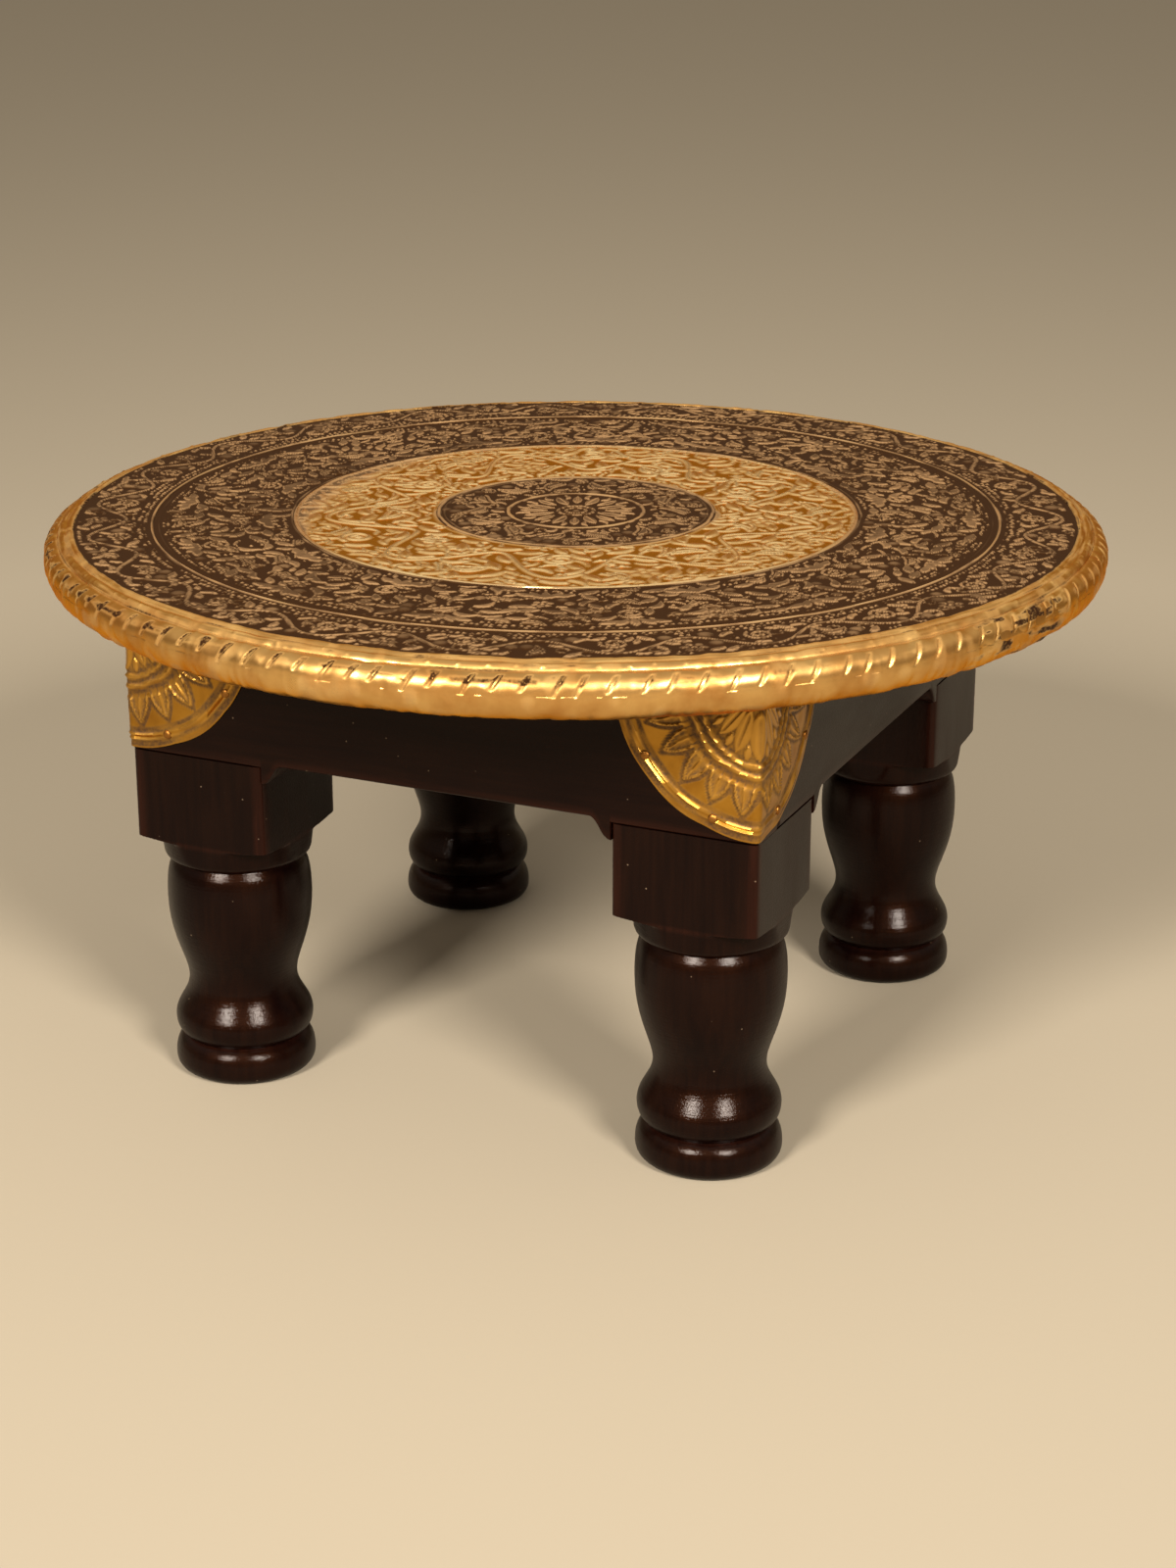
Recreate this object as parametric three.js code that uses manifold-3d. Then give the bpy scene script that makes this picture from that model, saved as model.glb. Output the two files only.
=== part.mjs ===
// A low round table of turned hardwood. A square frame on four turned legs carries a round board, and
// the board is dressed in brass: an embossed sheet on top, a strip wrapped round the edge and a bent
// plate on each corner of the frame.
// Millimetres, +Z up. The origin is on the floor under the middle of the top, and the front is -Y.
import * as THREE from "three";
import { mergeVertices } from "three/addons/utils/BufferGeometryUtils.js";
import Module from "manifold-3d";

const wasm = await Module();
wasm.setup();

// Driving dimensions
const TABLE_RADIUS = 190.5; // a 15 inch top
const SHEET_TOP = 196; // height of the plain brass between the raised rings
const BOARD_UNDERSIDE = 178.3;
const FIT = 0.15; // gap between pieces that touch in the real table
const ROUND_STEPS = 64; // facets round the top
const TURNING_STEPS = 24; // facets round a leg

// Brass sheet on the top
const SHEET_RADIUS = 180;
const SHEET_GAUGE = 0.6;
const RING_HEIGHT = 0.7;
const RING_HALF_WIDTH = 1.1;
const RING_RADII = [24.5, 50.4, 101.7, 151.4];

// Brass strip round the edge
const STRIP_GAUGE = 0.5;
const LIP_RADIUS = 180.4;
const BAND_INNER = { r: 182.4, z: 195.2 };
const BAND_OUTER = { r: 185.4, z: 193.2 };
const GROOVE_HEIGHT = 195.6; // between the lip and the band
const BEAD_CENTRE = { r: 183.2, z: 186.6 };
const BEAD_RADIUS = TABLE_RADIUS - BEAD_CENTRE.r;
const BEAD_START = -1.25; // radians below level, where the bead leaves the fold
const BEAD_END = 1.05; // radians above level, where it meets the band
const FOLD_RADIUS = 176;

// Square frame under the board
const FRAME_HALF = 117.7;
const APRON_THICKNESS = 18;
const APRON_BOTTOM = 126.8;
const BRACKET_LENGTH = 8;
const BRACKET_DROP = 7.4;

// Turned legs, made from square stock
const STOCK_HALF = 25.9;
const LEG_CENTRE = FRAME_HALF - STOCK_HALF;
const BLOCK_TOP = 125.5;
const BLOCK_SHOULDER = 93.5;
const POST_SIDE = 2 * STOCK_HALF - APRON_THICKNESS - FIT;

// Corner plates and the nails that hold them
const PLATE_GAUGE = 0.5;
const PLATE_RADIUS = 51.3;
const PLATE_CENTRE_Z = 178;
const PLATE_NAIL_CIRCLE = 47.5;
const PLATE_NAIL_ANGLES = [19, 56]; // degrees from the corner edge
const PLATE_NAIL = { headRadius: 1.65, headHeight: 0.9, shankRadius: 0.7, length: 12 };

// Fixings that don't show
const RIM_TACK = { headRadius: 2.2, headHeight: 0.8, shankRadius: 0.8, length: 9 };
const RIM_TACK_COUNT = 8;
const RIM_TACK_CIRCLE = 179.5;
const FRAME_NAIL = { headRadius: 2.2, headHeight: 1, shankRadius: 1.2, length: 40 };
const FRAME_NAIL_HEIGHTS = [143, 167];
const LEG_SCREW = { headRadius: 3.6, headHeight: 2.4, shankRadius: 1.9, length: 38 };
const LEG_SCREW_HEIGHT = 146;
const TOP_SCREW = { headRadius: 4, headHeight: 2.6, shankRadius: 2.1, length: 40 };

const CORNERS = [
  { name: "front_left", x: -1, y: -1 },
  { name: "front_right", x: 1, y: -1 },
  { name: "back_right", x: 1, y: 1 },
  { name: "back_left", x: -1, y: 1 },
];

// Materials
const finish = (color, roughness, metalness) =>
  new THREE.MeshStandardMaterial({ color, roughness, metalness });
const EMBOSSED_BRASS = finish(0x6e4a2a, 0.38, 0.9);
const RIM_BRASS = finish(0xc98f45, 0.28, 1);
const PLATE_BRASS = finish(0xb98a45, 0.34, 1);
const NAIL_BRASS = finish(0xc9a566, 0.3, 1);
const LACQUERED_WOOD = finish(0x2a120b, 0.25, 0);
const RAW_WOOD = finish(0x8a6541, 0.8, 0);
const STEEL = finish(0x8f9092, 0.45, 0.9);

// Solids: a closed geometry in, a closed geometry out
function solidOf(geometry) {
  const bare = geometry.clone();
  bare.deleteAttribute("normal");
  bare.deleteAttribute("uv");
  const merged = mergeVertices(bare, 1e-4);
  return new wasm.Manifold(
    new wasm.Mesh({
      numProp: 3,
      vertProperties: merged.attributes.position.array,
      triVerts: new Uint32Array(merged.index.array),
    }),
  );
}

function geometryOf(solid) {
  const mesh = solid.getMesh();
  const geometry = new THREE.BufferGeometry();
  geometry.setAttribute("position", new THREE.BufferAttribute(mesh.vertProperties, 3));
  geometry.setIndex(new THREE.BufferAttribute(mesh.triVerts, 1));
  return geometry;
}

const cut = (geometry, tools) =>
  geometryOf(tools.reduce((left, tool) => left.subtract(solidOf(tool)), solidOf(geometry)));
const join = (first, second) => geometryOf(solidOf(first).add(solidOf(second)));
const overlap = (first, second) => geometryOf(solidOf(first).intersect(solidOf(second)));

// An outline of (radius, height) points turned about the upright axis
function turned(outline, steps) {
  return new THREE.LatheGeometry(outline, steps).rotateX(Math.PI / 2);
}

// A box from its lowest and highest corners
function block(low, high) {
  const size = high.map((value, axis) => value - low[axis]);
  const middle = high.map((value, axis) => (value + low[axis]) / 2);
  return new THREE.BoxGeometry(...size).translate(...middle);
}

// Moves each point of an open outline sideways by a distance, to the left of its direction of travel
function offset(points, distance) {
  return points.map((point, i) => {
    const before = points[Math.max(i - 1, 0)];
    const after = points[Math.min(i + 1, points.length - 1)];
    const along = after.clone().sub(before).normalize();
    return new THREE.Vector2(point.x - along.y * distance, point.y + along.x * distance);
  });
}

function mesh(name, geometry, material) {
  const made = new THREE.Mesh(geometry, material);
  made.name = name;
  return made;
}

// A nail or screw: the head stands on the origin and the shank points down, grown by a clearance
function fixing({ headRadius, headHeight, shankRadius, length }, grow = 0) {
  const head = headRadius + grow;
  const shank = shankRadius + grow;
  const tip = -length - grow;
  const outline = [
    new THREE.Vector2(0, tip),
    new THREE.Vector2(shank, tip + 2 * shank),
    new THREE.Vector2(shank, -grow),
    new THREE.Vector2(head, -grow),
    new THREE.Vector2(head * 0.8, headHeight * 0.75 + grow),
    new THREE.Vector2(0, headHeight + grow),
  ];
  return turned(outline, 6);
}

// A fixing with its head sunk flush: the same shape let down by the head's height
const sunk = (kind, grow = 0) => fixing(kind, grow).translate(0, 0, -kind.headHeight);

// Turns a fixing that points down so that it points along -X, +X, -Y or +Y into the frame
const POINTING = {
  x: (side) => new THREE.Euler(0, (side * Math.PI) / 2, 0),
  y: (side) => new THREE.Euler((-side * Math.PI) / 2, 0, 0),
};

// Where each fixing goes: its name, kind, place and direction
function platedNails() {
  const places = [];
  for (const corner of CORNERS) {
    for (const face of ["x", "y"]) {
      PLATE_NAIL_ANGLES.forEach((degrees, i) => {
        const angle = THREE.MathUtils.degToRad(degrees);
        const inset = FRAME_HALF - PLATE_NAIL_CIRCLE * Math.sin(angle);
        const proud = FRAME_HALF + 2 * FIT + PLATE_GAUGE;
        const z = PLATE_CENTRE_Z - PLATE_NAIL_CIRCLE * Math.cos(angle);
        places.push({
          name: `plate_nail_${corner.name}_${face}${i + 1}`,
          kind: PLATE_NAIL,
          make: fixing,
          at: new THREE.Vector3(
            corner.x * (face === "x" ? proud : inset),
            corner.y * (face === "x" ? inset : proud),
            z,
          ),
          turn: POINTING[face](face === "x" ? corner.x : corner.y),
          material: NAIL_BRASS,
        });
      });
    }
  }
  return places;
}

function frameNails() {
  return CORNERS.flatMap((corner) =>
    FRAME_NAIL_HEIGHTS.map((z, i) => ({
      name: `frame_nail_${corner.name}_${i + 1}`,
      kind: FRAME_NAIL,
      make: sunk,
      at: new THREE.Vector3(corner.x * (FRAME_HALF - APRON_THICKNESS / 2), corner.y * FRAME_HALF, z),
      turn: POINTING.y(corner.y),
      material: STEEL,
    })),
  );
}

const POST_CENTRE = FRAME_HALF - APRON_THICKNESS - FIT - POST_SIDE / 2;

function legScrews() {
  return CORNERS.map((corner) => ({
    name: `leg_screw_${corner.name}`,
    kind: LEG_SCREW,
    make: sunk,
    at: new THREE.Vector3(corner.x * POST_CENTRE, corner.y * FRAME_HALF, LEG_SCREW_HEIGHT),
    turn: POINTING.y(corner.y),
    material: STEEL,
  }));
}

const BOARD_TOP = SHEET_TOP - SHEET_GAUGE - FIT;

function topScrews() {
  return CORNERS.map((corner) => ({
    name: `top_screw_${corner.name}`,
    kind: TOP_SCREW,
    make: sunk,
    at: new THREE.Vector3(corner.x * POST_CENTRE, corner.y * POST_CENTRE, BOARD_TOP - 2 * FIT),
    turn: new THREE.Euler(),
    material: STEEL,
  }));
}

const FOLD_TOP = BOARD_UNDERSIDE - FIT;

function rimTacks() {
  return Array.from({ length: RIM_TACK_COUNT }, (_, i) => {
    const angle = ((i + 0.5) * 2 * Math.PI) / RIM_TACK_COUNT;
    return {
      name: `rim_tack_${i + 1}`,
      kind: RIM_TACK,
      make: fixing,
      at: new THREE.Vector3(
        RIM_TACK_CIRCLE * Math.cos(angle),
        RIM_TACK_CIRCLE * Math.sin(angle),
        FOLD_TOP - STRIP_GAUGE - FIT,
      ),
      turn: new THREE.Euler(Math.PI, 0, 0),
      material: NAIL_BRASS,
    };
  });
}

const FIXINGS = [...platedNails(), ...frameNails(), ...legScrews(), ...topScrews(), ...rimTacks()];

// The hole that a fixing needs, in the table's own frame
function holeFor({ kind, make, at, turn }) {
  const place = new THREE.Matrix4().makeRotationFromEuler(turn).setPosition(at);
  return make(kind, FIT).applyMatrix4(place);
}

const holes = (...starts) =>
  FIXINGS.filter((item) => starts.some((start) => item.name.startsWith(start))).map(holeFor);

// Middle line of the edge strip, from under the fold, round the bead and over the band to the lip
function stripLine() {
  const line = new THREE.Path();
  const foldZ = FOLD_TOP - STRIP_GAUGE / 2;
  line.moveTo(FOLD_RADIUS, foldZ);
  line.lineTo(BEAD_CENTRE.r - 0.6, foldZ);
  line.absarc(BEAD_CENTRE.r, BEAD_CENTRE.z, BEAD_RADIUS - STRIP_GAUGE / 2, BEAD_START, BEAD_END, false);
  line.lineTo(BAND_OUTER.r, BAND_OUTER.z);
  line.lineTo(BAND_INNER.r, BAND_INNER.z);
  line.lineTo(LIP_RADIUS + 1, GROOVE_HEIGHT);
  line.lineTo(LIP_RADIUS, SHEET_TOP + FIT + STRIP_GAUGE / 2);
  line.lineTo(LIP_RADIUS - 1.2, SHEET_TOP + FIT + STRIP_GAUGE / 2);
  return line.getPoints(3);
}

function rimStrip() {
  const line = stripLine();
  const outer = offset(line, -STRIP_GAUGE / 2);
  const inner = offset(line, STRIP_GAUGE / 2).reverse();
  const shell = turned([...outer, ...inner, outer[0]], ROUND_STEPS);
  return mesh("rim_strip", cut(shell, holes("rim_tack")), RIM_BRASS);
}

// The board fills the strip, so its edge is the strip's line moved in by the gap
function topBoard() {
  const edge = offset(stripLine(), STRIP_GAUGE / 2 + FIT).filter(
    (point) => point.x > BAND_INNER.r - 1 && point.y > BOARD_UNDERSIDE && point.y < BOARD_TOP,
  );
  const outline = [
    new THREE.Vector2(0, BOARD_UNDERSIDE),
    new THREE.Vector2(BEAD_CENTRE.r - 1, BOARD_UNDERSIDE),
    ...edge,
    new THREE.Vector2(SHEET_RADIUS, BOARD_TOP),
    new THREE.Vector2(0, BOARD_TOP),
  ];
  const disc = turned(outline, ROUND_STEPS);
  return mesh("top_board", cut(disc, holes("top_screw", "rim_tack")), RAW_WOOD);
}

// The brass sheet, with a raised ring at each border of its pattern
function topSheet() {
  const rings = RING_RADII.flatMap((r) => [
    new THREE.Vector2(r - RING_HALF_WIDTH, SHEET_TOP),
    new THREE.Vector2(r, SHEET_TOP + RING_HEIGHT),
    new THREE.Vector2(r + RING_HALF_WIDTH, SHEET_TOP),
  ]);
  const outline = [
    new THREE.Vector2(0, SHEET_TOP - SHEET_GAUGE),
    new THREE.Vector2(SHEET_RADIUS, SHEET_TOP - SHEET_GAUGE),
    new THREE.Vector2(SHEET_RADIUS, SHEET_TOP),
    ...rings.reverse(),
    new THREE.Vector2(0, SHEET_TOP),
  ];
  return mesh("top_sheet", turned(outline, ROUND_STEPS), EMBOSSED_BRASS);
}

// One side of the frame, seen from outside: a straight board that drops in an ogee beside each leg
// and is notched over the leg's square block
function apronOutline(halfLength) {
  const legSide = LEG_CENTRE - STOCK_HALF - FIT;
  const ogeeStart = legSide - BRACKET_LENGTH;
  const tip = APRON_BOTTOM - BRACKET_DROP;
  const notch = BLOCK_TOP + FIT;
  const middle = (ogeeStart + legSide) / 2;
  const halfway = (APRON_BOTTOM + tip) / 2;
  const shape = new THREE.Shape();
  shape.moveTo(-halfLength, notch);
  shape.lineTo(-legSide, notch);
  shape.lineTo(-legSide, tip);
  shape.quadraticCurveTo(-middle, tip, -middle, halfway);
  shape.quadraticCurveTo(-middle, APRON_BOTTOM, -ogeeStart, APRON_BOTTOM);
  shape.lineTo(ogeeStart, APRON_BOTTOM);
  shape.quadraticCurveTo(middle, APRON_BOTTOM, middle, halfway);
  shape.quadraticCurveTo(middle, tip, legSide, tip);
  shape.lineTo(legSide, notch);
  shape.lineTo(halfLength, notch);
  shape.lineTo(halfLength, BOARD_UNDERSIDE - FIT);
  shape.lineTo(-halfLength, BOARD_UNDERSIDE - FIT);
  shape.closePath();
  return shape;
}

// An apron whose outer face is at +FRAME_HALF on Y before it is turned by quarter turns about Z
function apron(name, halfLength, quarterTurns) {
  const board = new THREE.ExtrudeGeometry(apronOutline(halfLength), {
    depth: APRON_THICKNESS,
    bevelEnabled: false,
    curveSegments: 3,
  })
    .rotateX(Math.PI / 2)
    .translate(0, FRAME_HALF, 0)
    .rotateZ((quarterTurns * Math.PI) / 2);
  return mesh(name, cut(board, holes("plate_nail", "frame_nail", "leg_screw")), LACQUERED_WOOD);
}

// Half outline of the turned part of a leg, from the floor up to the top of its square block
function legOutline() {
  const line = new THREE.Path();
  line.moveTo(0, 0);
  line.lineTo(22.6, 0);
  line.bezierCurveTo(24.8, 0.4, 25.4, 2.6, 25.4, 5); // foot
  line.bezierCurveTo(25.4, 8.6, 24.4, 11.6, 21.5, 13.6);
  line.bezierCurveTo(24, 15, 24.9, 17.4, 24.9, 20.5); // bead
  line.bezierCurveTo(24.9, 25.2, 19.5, 28.6, 19.5, 35.5); // neck
  line.bezierCurveTo(19.5, 43, 25.9, 51, 25.9, 67); // bulb
  line.bezierCurveTo(25.9, 73.5, 25.4, 79, 23.2, 81.5);
  line.lineTo(26.3, 84.7); // collar
  line.lineTo(27.1, 91.7);
  const points = line.getPoints(3);
  const beyond = STOCK_HALF * Math.SQRT2 + 1;
  return [
    ...points,
    new THREE.Vector2(beyond, BLOCK_SHOULDER + 0.2),
    new THREE.Vector2(beyond, BLOCK_TOP),
    new THREE.Vector2(0, BLOCK_TOP),
  ];
}

// A leg: square stock turned below the block, with a smaller post above it inside the frame's corner
function leg(corner) {
  const stock = block([-STOCK_HALF, -STOCK_HALF, -1], [STOCK_HALF, STOCK_HALF, BLOCK_TOP]);
  const shaped = overlap(stock, turned(legOutline(), TURNING_STEPS));
  const low = -STOCK_HALF;
  const high = POST_SIDE - STOCK_HALF;
  const post = block(
    [Math.min(corner.x * low, corner.x * high), Math.min(corner.y * low, corner.y * high), BLOCK_TOP - 1],
    [
      Math.max(corner.x * low, corner.x * high),
      Math.max(corner.y * low, corner.y * high),
      BOARD_UNDERSIDE - FIT,
    ],
  );
  const whole = join(shaped, post).translate(corner.x * LEG_CENTRE, corner.y * LEG_CENTRE, 0);
  return mesh(`leg_${corner.name}`, cut(whole, holes("leg_screw", "top_screw")), LACQUERED_WOOD);
}

// A corner plate: a quarter disc of sheet on each face, joined along the corner edge
function cornerPlate(corner) {
  const inner = FRAME_HALF + FIT;
  const outer = inner + PLATE_GAUGE;
  const shape = new THREE.Shape();
  const top = BOARD_UNDERSIDE - FIT;
  shape.moveTo(outer, top);
  shape.lineTo(FRAME_HALF - PLATE_RADIUS, top);
  shape.absarc(FRAME_HALF, PLATE_CENTRE_Z, PLATE_RADIUS, Math.PI, 1.5 * Math.PI, false);
  shape.lineTo(outer, PLATE_CENTRE_Z - PLATE_RADIUS);
  shape.closePath();
  const face = new THREE.ExtrudeGeometry(shape, {
    depth: PLATE_GAUGE,
    bevelEnabled: false,
    curveSegments: 10,
  })
    .rotateX(Math.PI / 2)
    .translate(0, outer, 0);
  const mirrored = face.clone().applyMatrix4(
    new THREE.Matrix4().set(0, 1, 0, 0, 1, 0, 0, 0, 0, 0, 1, 0, 0, 0, 0, 1),
  );
  mirrored.index = null;
  const quarterTurns = CORNERS.indexOf(corner) - 2;
  const bent = join(face, flipped(mirrored)).rotateZ((quarterTurns * Math.PI) / 2);
  return mesh(`corner_plate_${corner.name}`, cut(bent, holes("plate_nail")), PLATE_BRASS);
}

// A mirrored geometry has its faces turned inwards: this turns them out again
function flipped(geometry) {
  const position = geometry.attributes.position;
  for (let i = 0; i < position.count; i += 3) {
    for (let axis = 0; axis < 3; axis++) {
      const kept = position.getComponent(i + 1, axis);
      position.setComponent(i + 1, axis, position.getComponent(i + 2, axis));
      position.setComponent(i + 2, axis, kept);
    }
  }
  return geometry;
}

function placedFixing({ name, kind, make, at, turn, material }) {
  const made = mesh(name, make(kind), material);
  made.position.copy(at);
  made.rotation.copy(turn);
  return made;
}

const top = new THREE.Group();
top.add(topBoard(), topSheet(), rimStrip());

const sideHalf = FRAME_HALF - APRON_THICKNESS - FIT;
const base = new THREE.Group();
base.add(
  apron("apron_back", FRAME_HALF, 0),
  apron("apron_left", sideHalf, 1),
  apron("apron_front", FRAME_HALF, 2),
  apron("apron_right", sideHalf, 3),
  ...CORNERS.map(leg),
);

const brassware = new THREE.Group();
brassware.add(...CORNERS.map(cornerPlate));

const fixings = new THREE.Group();
fixings.add(...FIXINGS.map(placedFixing));

const table = new THREE.Group();
table.add(top, base, brassware, fixings);

export default table;
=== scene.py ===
"""The brass-topped low table, dressed: embossed top, notched rim, corner plates and lacquered turned legs."""

import math
from itertools import product

import bpy
import numpy as np
from bpy.props import FloatProperty, FloatVectorProperty, IntProperty, PointerProperty
from bpy.types import Operator, Panel, PropertyGroup
from mathutils import Euler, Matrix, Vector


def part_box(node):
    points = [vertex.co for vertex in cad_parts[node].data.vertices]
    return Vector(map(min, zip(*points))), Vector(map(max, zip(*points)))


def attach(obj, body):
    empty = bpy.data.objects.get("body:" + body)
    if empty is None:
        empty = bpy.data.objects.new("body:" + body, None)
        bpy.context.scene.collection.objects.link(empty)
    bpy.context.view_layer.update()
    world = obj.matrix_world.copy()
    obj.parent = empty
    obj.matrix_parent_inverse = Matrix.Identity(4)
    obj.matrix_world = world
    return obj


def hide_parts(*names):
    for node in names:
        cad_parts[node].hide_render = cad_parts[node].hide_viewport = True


bl_info = {
    "name": "Brass-topped low table",
    "version": (1, 0, 0),
    "blender": (4, 5, 0),
    "location": "3D View > Sidebar > Table",
    "description": "Builds the visible surfaces of a low table with an embossed brass top",
    "category": "Object",
}

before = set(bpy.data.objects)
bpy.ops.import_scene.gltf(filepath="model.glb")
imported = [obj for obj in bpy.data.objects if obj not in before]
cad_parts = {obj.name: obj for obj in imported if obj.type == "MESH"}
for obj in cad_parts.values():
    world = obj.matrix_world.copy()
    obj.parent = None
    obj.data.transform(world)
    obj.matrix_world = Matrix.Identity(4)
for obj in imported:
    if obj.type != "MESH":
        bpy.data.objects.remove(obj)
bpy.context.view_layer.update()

MM = 0.001
TAU = 2 * math.pi


def span(node):
    """The lowest and highest corners of a CAD node, in millimetres."""
    return [np.array(corner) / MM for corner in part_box(node)]


SHEET_LOW, SHEET_HIGH = span("top_sheet")
STRIP_LOW, STRIP_HIGH = span("rim_strip")
BOARD_LOW, BOARD_HIGH = span("top_board")
APRON_LOW, APRON_HIGH = span("apron_front")
LEG_LOW, LEG_HIGH = span("leg_front_right")
PLATE_LOW, PLATE_HIGH = span("corner_plate_front_right")

SHEET_TOP = SHEET_LOW[2] + 0.6  # the sheet is 0.6 thick, and its raised rings stand above that
SHEET_RADIUS = SHEET_HIGH[0]
MEDALLION_RADIUS = 50.4
BRIGHT_RADIUS = 101.7
FIELD_RADIUS = 151.4
CHASED_RINGS = (24.5, MEDALLION_RADIUS - 0.9, FIELD_RADIUS + 0.5)  # raised lines worn to the metal
RIM_RADIUS = STRIP_HIGH[0] - 0.2  # leaves room for the hammering
FRAME_HALF = APRON_HIGH[0]
APRON_THICK = APRON_HIGH[1] - APRON_LOW[1]
BLOCK_TOP = 125.5  # the shoulder of each leg, on which the frame stands
CORNERS = {"front_left": (-1, -1), "front_right": (1, -1), "back_right": (1, 1), "back_left": (-1, 1)}


# ---------------------------------------------------------------- meshes


def grid_quads(rows, columns):
    """Four-sided faces of a grid whose columns join end to end."""
    i, j = np.meshgrid(np.arange(rows - 1), np.arange(columns), indexing="ij")
    k = (j + 1) % columns
    corners = [i * columns + j, i * columns + k, (i + 1) * columns + k, (i + 1) * columns + j]
    return np.stack(corners, axis=-1).reshape(-1, 4)


def with_ends(values):
    """The values of a grid, one to a vertex, with the mean of each end row added at the end."""
    ends = np.stack([values[0].mean(axis=0), values[-1].mean(axis=0)])
    return np.concatenate([values.reshape(-1, *values.shape[2:]), ends])


def closed_skin(points):
    """A closed surface from a (rows, columns, 3) grid with joined columns: each end row is drawn
    together to one vertex at its mean, and fans of triangles close it."""
    rows, columns = points.shape[:2]
    around = np.arange(columns)
    after = (around + 1) % columns
    last = (rows - 1) * columns
    low = np.stack([np.full(columns, rows * columns), after, around], axis=-1)
    high = np.stack([np.full(columns, rows * columns + 1), last + around, last + after], axis=-1)
    return with_ends(points), [grid_quads(rows, columns), low, high]


def closed_loop(points):
    """A closed ring from a (rows, columns, 3) grid in which both rows and columns join end to end."""
    rows, columns = points.shape[:2]
    joined = grid_quads(rows + 1, columns) % (rows * columns)
    return points.reshape(-1, 3), [joined]


def signed_volume(points, faces):
    """Six times the volume inside a closed surface: the sum of the triple products of its triangles."""
    total = 0.0
    for face in faces:
        for k in range(1, face.shape[1] - 1):
            a, b, c = points[face[:, 0]], points[face[:, k]], points[face[:, k + 1]]
            total += np.einsum("ij,ij->i", a, np.cross(b, c)).sum()
    return total


def piece(name, points, faces, material, nodes, slot, attributes=None, sharp=None):
    """Puts a closed surface, in millimetres, into a mesh in metres that stands for CAD nodes."""
    if signed_volume(points, faces) < 0:
        faces = [face[:, ::-1] for face in faces]
    mesh = bpy.data.meshes.new(name)
    counts = np.concatenate([np.full(len(face), face.shape[1]) for face in faces])
    corners = np.concatenate([face.reshape(-1) for face in faces])
    mesh.vertices.add(len(points))
    mesh.vertices.foreach_set("co", (points * MM).astype(np.float32).reshape(-1))
    mesh.loops.add(len(corners))
    mesh.loops.foreach_set("vertex_index", corners.astype(np.int32))
    mesh.polygons.add(len(counts))
    starts = np.concatenate([[0], np.cumsum(counts)[:-1]])
    mesh.polygons.foreach_set("loop_start", starts.astype(np.int32))
    mesh.update(calc_edges=True)
    if mesh.validate():
        raise RuntimeError(f"{name} has faces that can't be drawn")
    mesh.shade_smooth()
    if sharp is not None:
        mesh.set_sharp_from_angle(angle=math.radians(sharp))
    for key, values in (attributes or {}).items():
        values = np.asarray(values, dtype=np.float32)
        kind, field = ("FLOAT", "value") if values.size == len(points) else ("FLOAT_VECTOR", "vector")
        mesh.attributes.new(key, kind, "POINT").data.foreach_set(field, values.reshape(-1))
    mesh.materials.append(material)
    made = bpy.data.objects.new(name, mesh)
    bpy.context.scene.collection.objects.link(made)
    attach(made, "root")
    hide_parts(*nodes)
    return made


def round_the_axis(radius, height, angle):
    """Points on turned rows: radius and height against angle, as x = r cos a, y = r sin a and z."""
    return np.stack([radius * np.cos(angle), radius * np.sin(angle), height + 0 * radius], axis=-1)


# ---------------------------------------------------------------- curves and noise


def smooth(values, low, high):
    """0 below low and 1 above high, with the curve 3t^2 - 2t^3 between."""
    t = np.clip((values - low) / (high - low), 0, 1)
    return t * t * (3 - 2 * t)


def ridge(distance, half_width):
    """A rounded ridge over a line: (1 - d^2)^2 with d the distance in half widths, and 0 beyond 1."""
    return np.clip(1 - (distance / half_width) ** 2, 0, 1) ** 2


def scatter(cells, seed):
    """A repeatable random number from 0 to 1 for each row of whole numbers, by mixing their bits."""
    mixed = np.full(cells.shape[:-1], seed * 2654435761 % 2**32, dtype=np.uint64)
    for axis, prime in zip(range(cells.shape[-1]), (73856093, 19349663, 83492791)):
        hashed = (cells[..., axis].astype(np.int64) * prime).astype(np.uint64)
        mixed = (mixed ^ hashed) & np.uint64(0xFFFFFFFF)
        mixed = (mixed * np.uint64(2246822519)) & np.uint64(0xFFFFFFFF)
        mixed ^= mixed >> np.uint64(15)
    return mixed / 2.0**32


def cloud(points, size, seed):
    """Smooth noise from -1 to 1: random values on the corners of cubes, blended across each cube by
    the curve 3t^2 - 2t^3 along each axis."""
    place = points / size
    cell = np.floor(place).astype(np.int64)
    t = place - cell
    t = t * t * (3 - 2 * t)
    total = 0
    for corner in product((0, 1), repeat=points.shape[-1]):
        weight = np.prod(np.where(np.array(corner) == 1, t, 1 - t), axis=-1)
        total = total + weight * scatter(cell + np.array(corner), seed)
    return 2 * total - 1


def clouds(points, size, seed):
    """Two octaves of smooth noise: a cloud and one of half its size and half its strength."""
    return (2 * cloud(points, size, seed) + cloud(points, size / 2, seed + 1)) / 3


def creases(points, size, seed):
    """Soft creases between -0.6 and 0.3: 0.3 less the size of a cloud, rounded where it crosses zero."""
    return 0.3 - np.sqrt(cloud(points, size, seed) ** 2 + 0.02)


def resample(outline, pitch):
    """Even points along an open line of (x, z) points, about a pitch apart, with the line's ends kept."""
    steps = np.hypot(*np.diff(outline, axis=0).T)
    along = np.concatenate([[0], np.cumsum(steps)])
    wanted = np.linspace(0, along[-1], max(int(along[-1] / pitch), 1) + 1)
    return np.stack([np.interp(wanted, along, outline[:, k]) for k in range(2)], axis=-1), wanted


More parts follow.
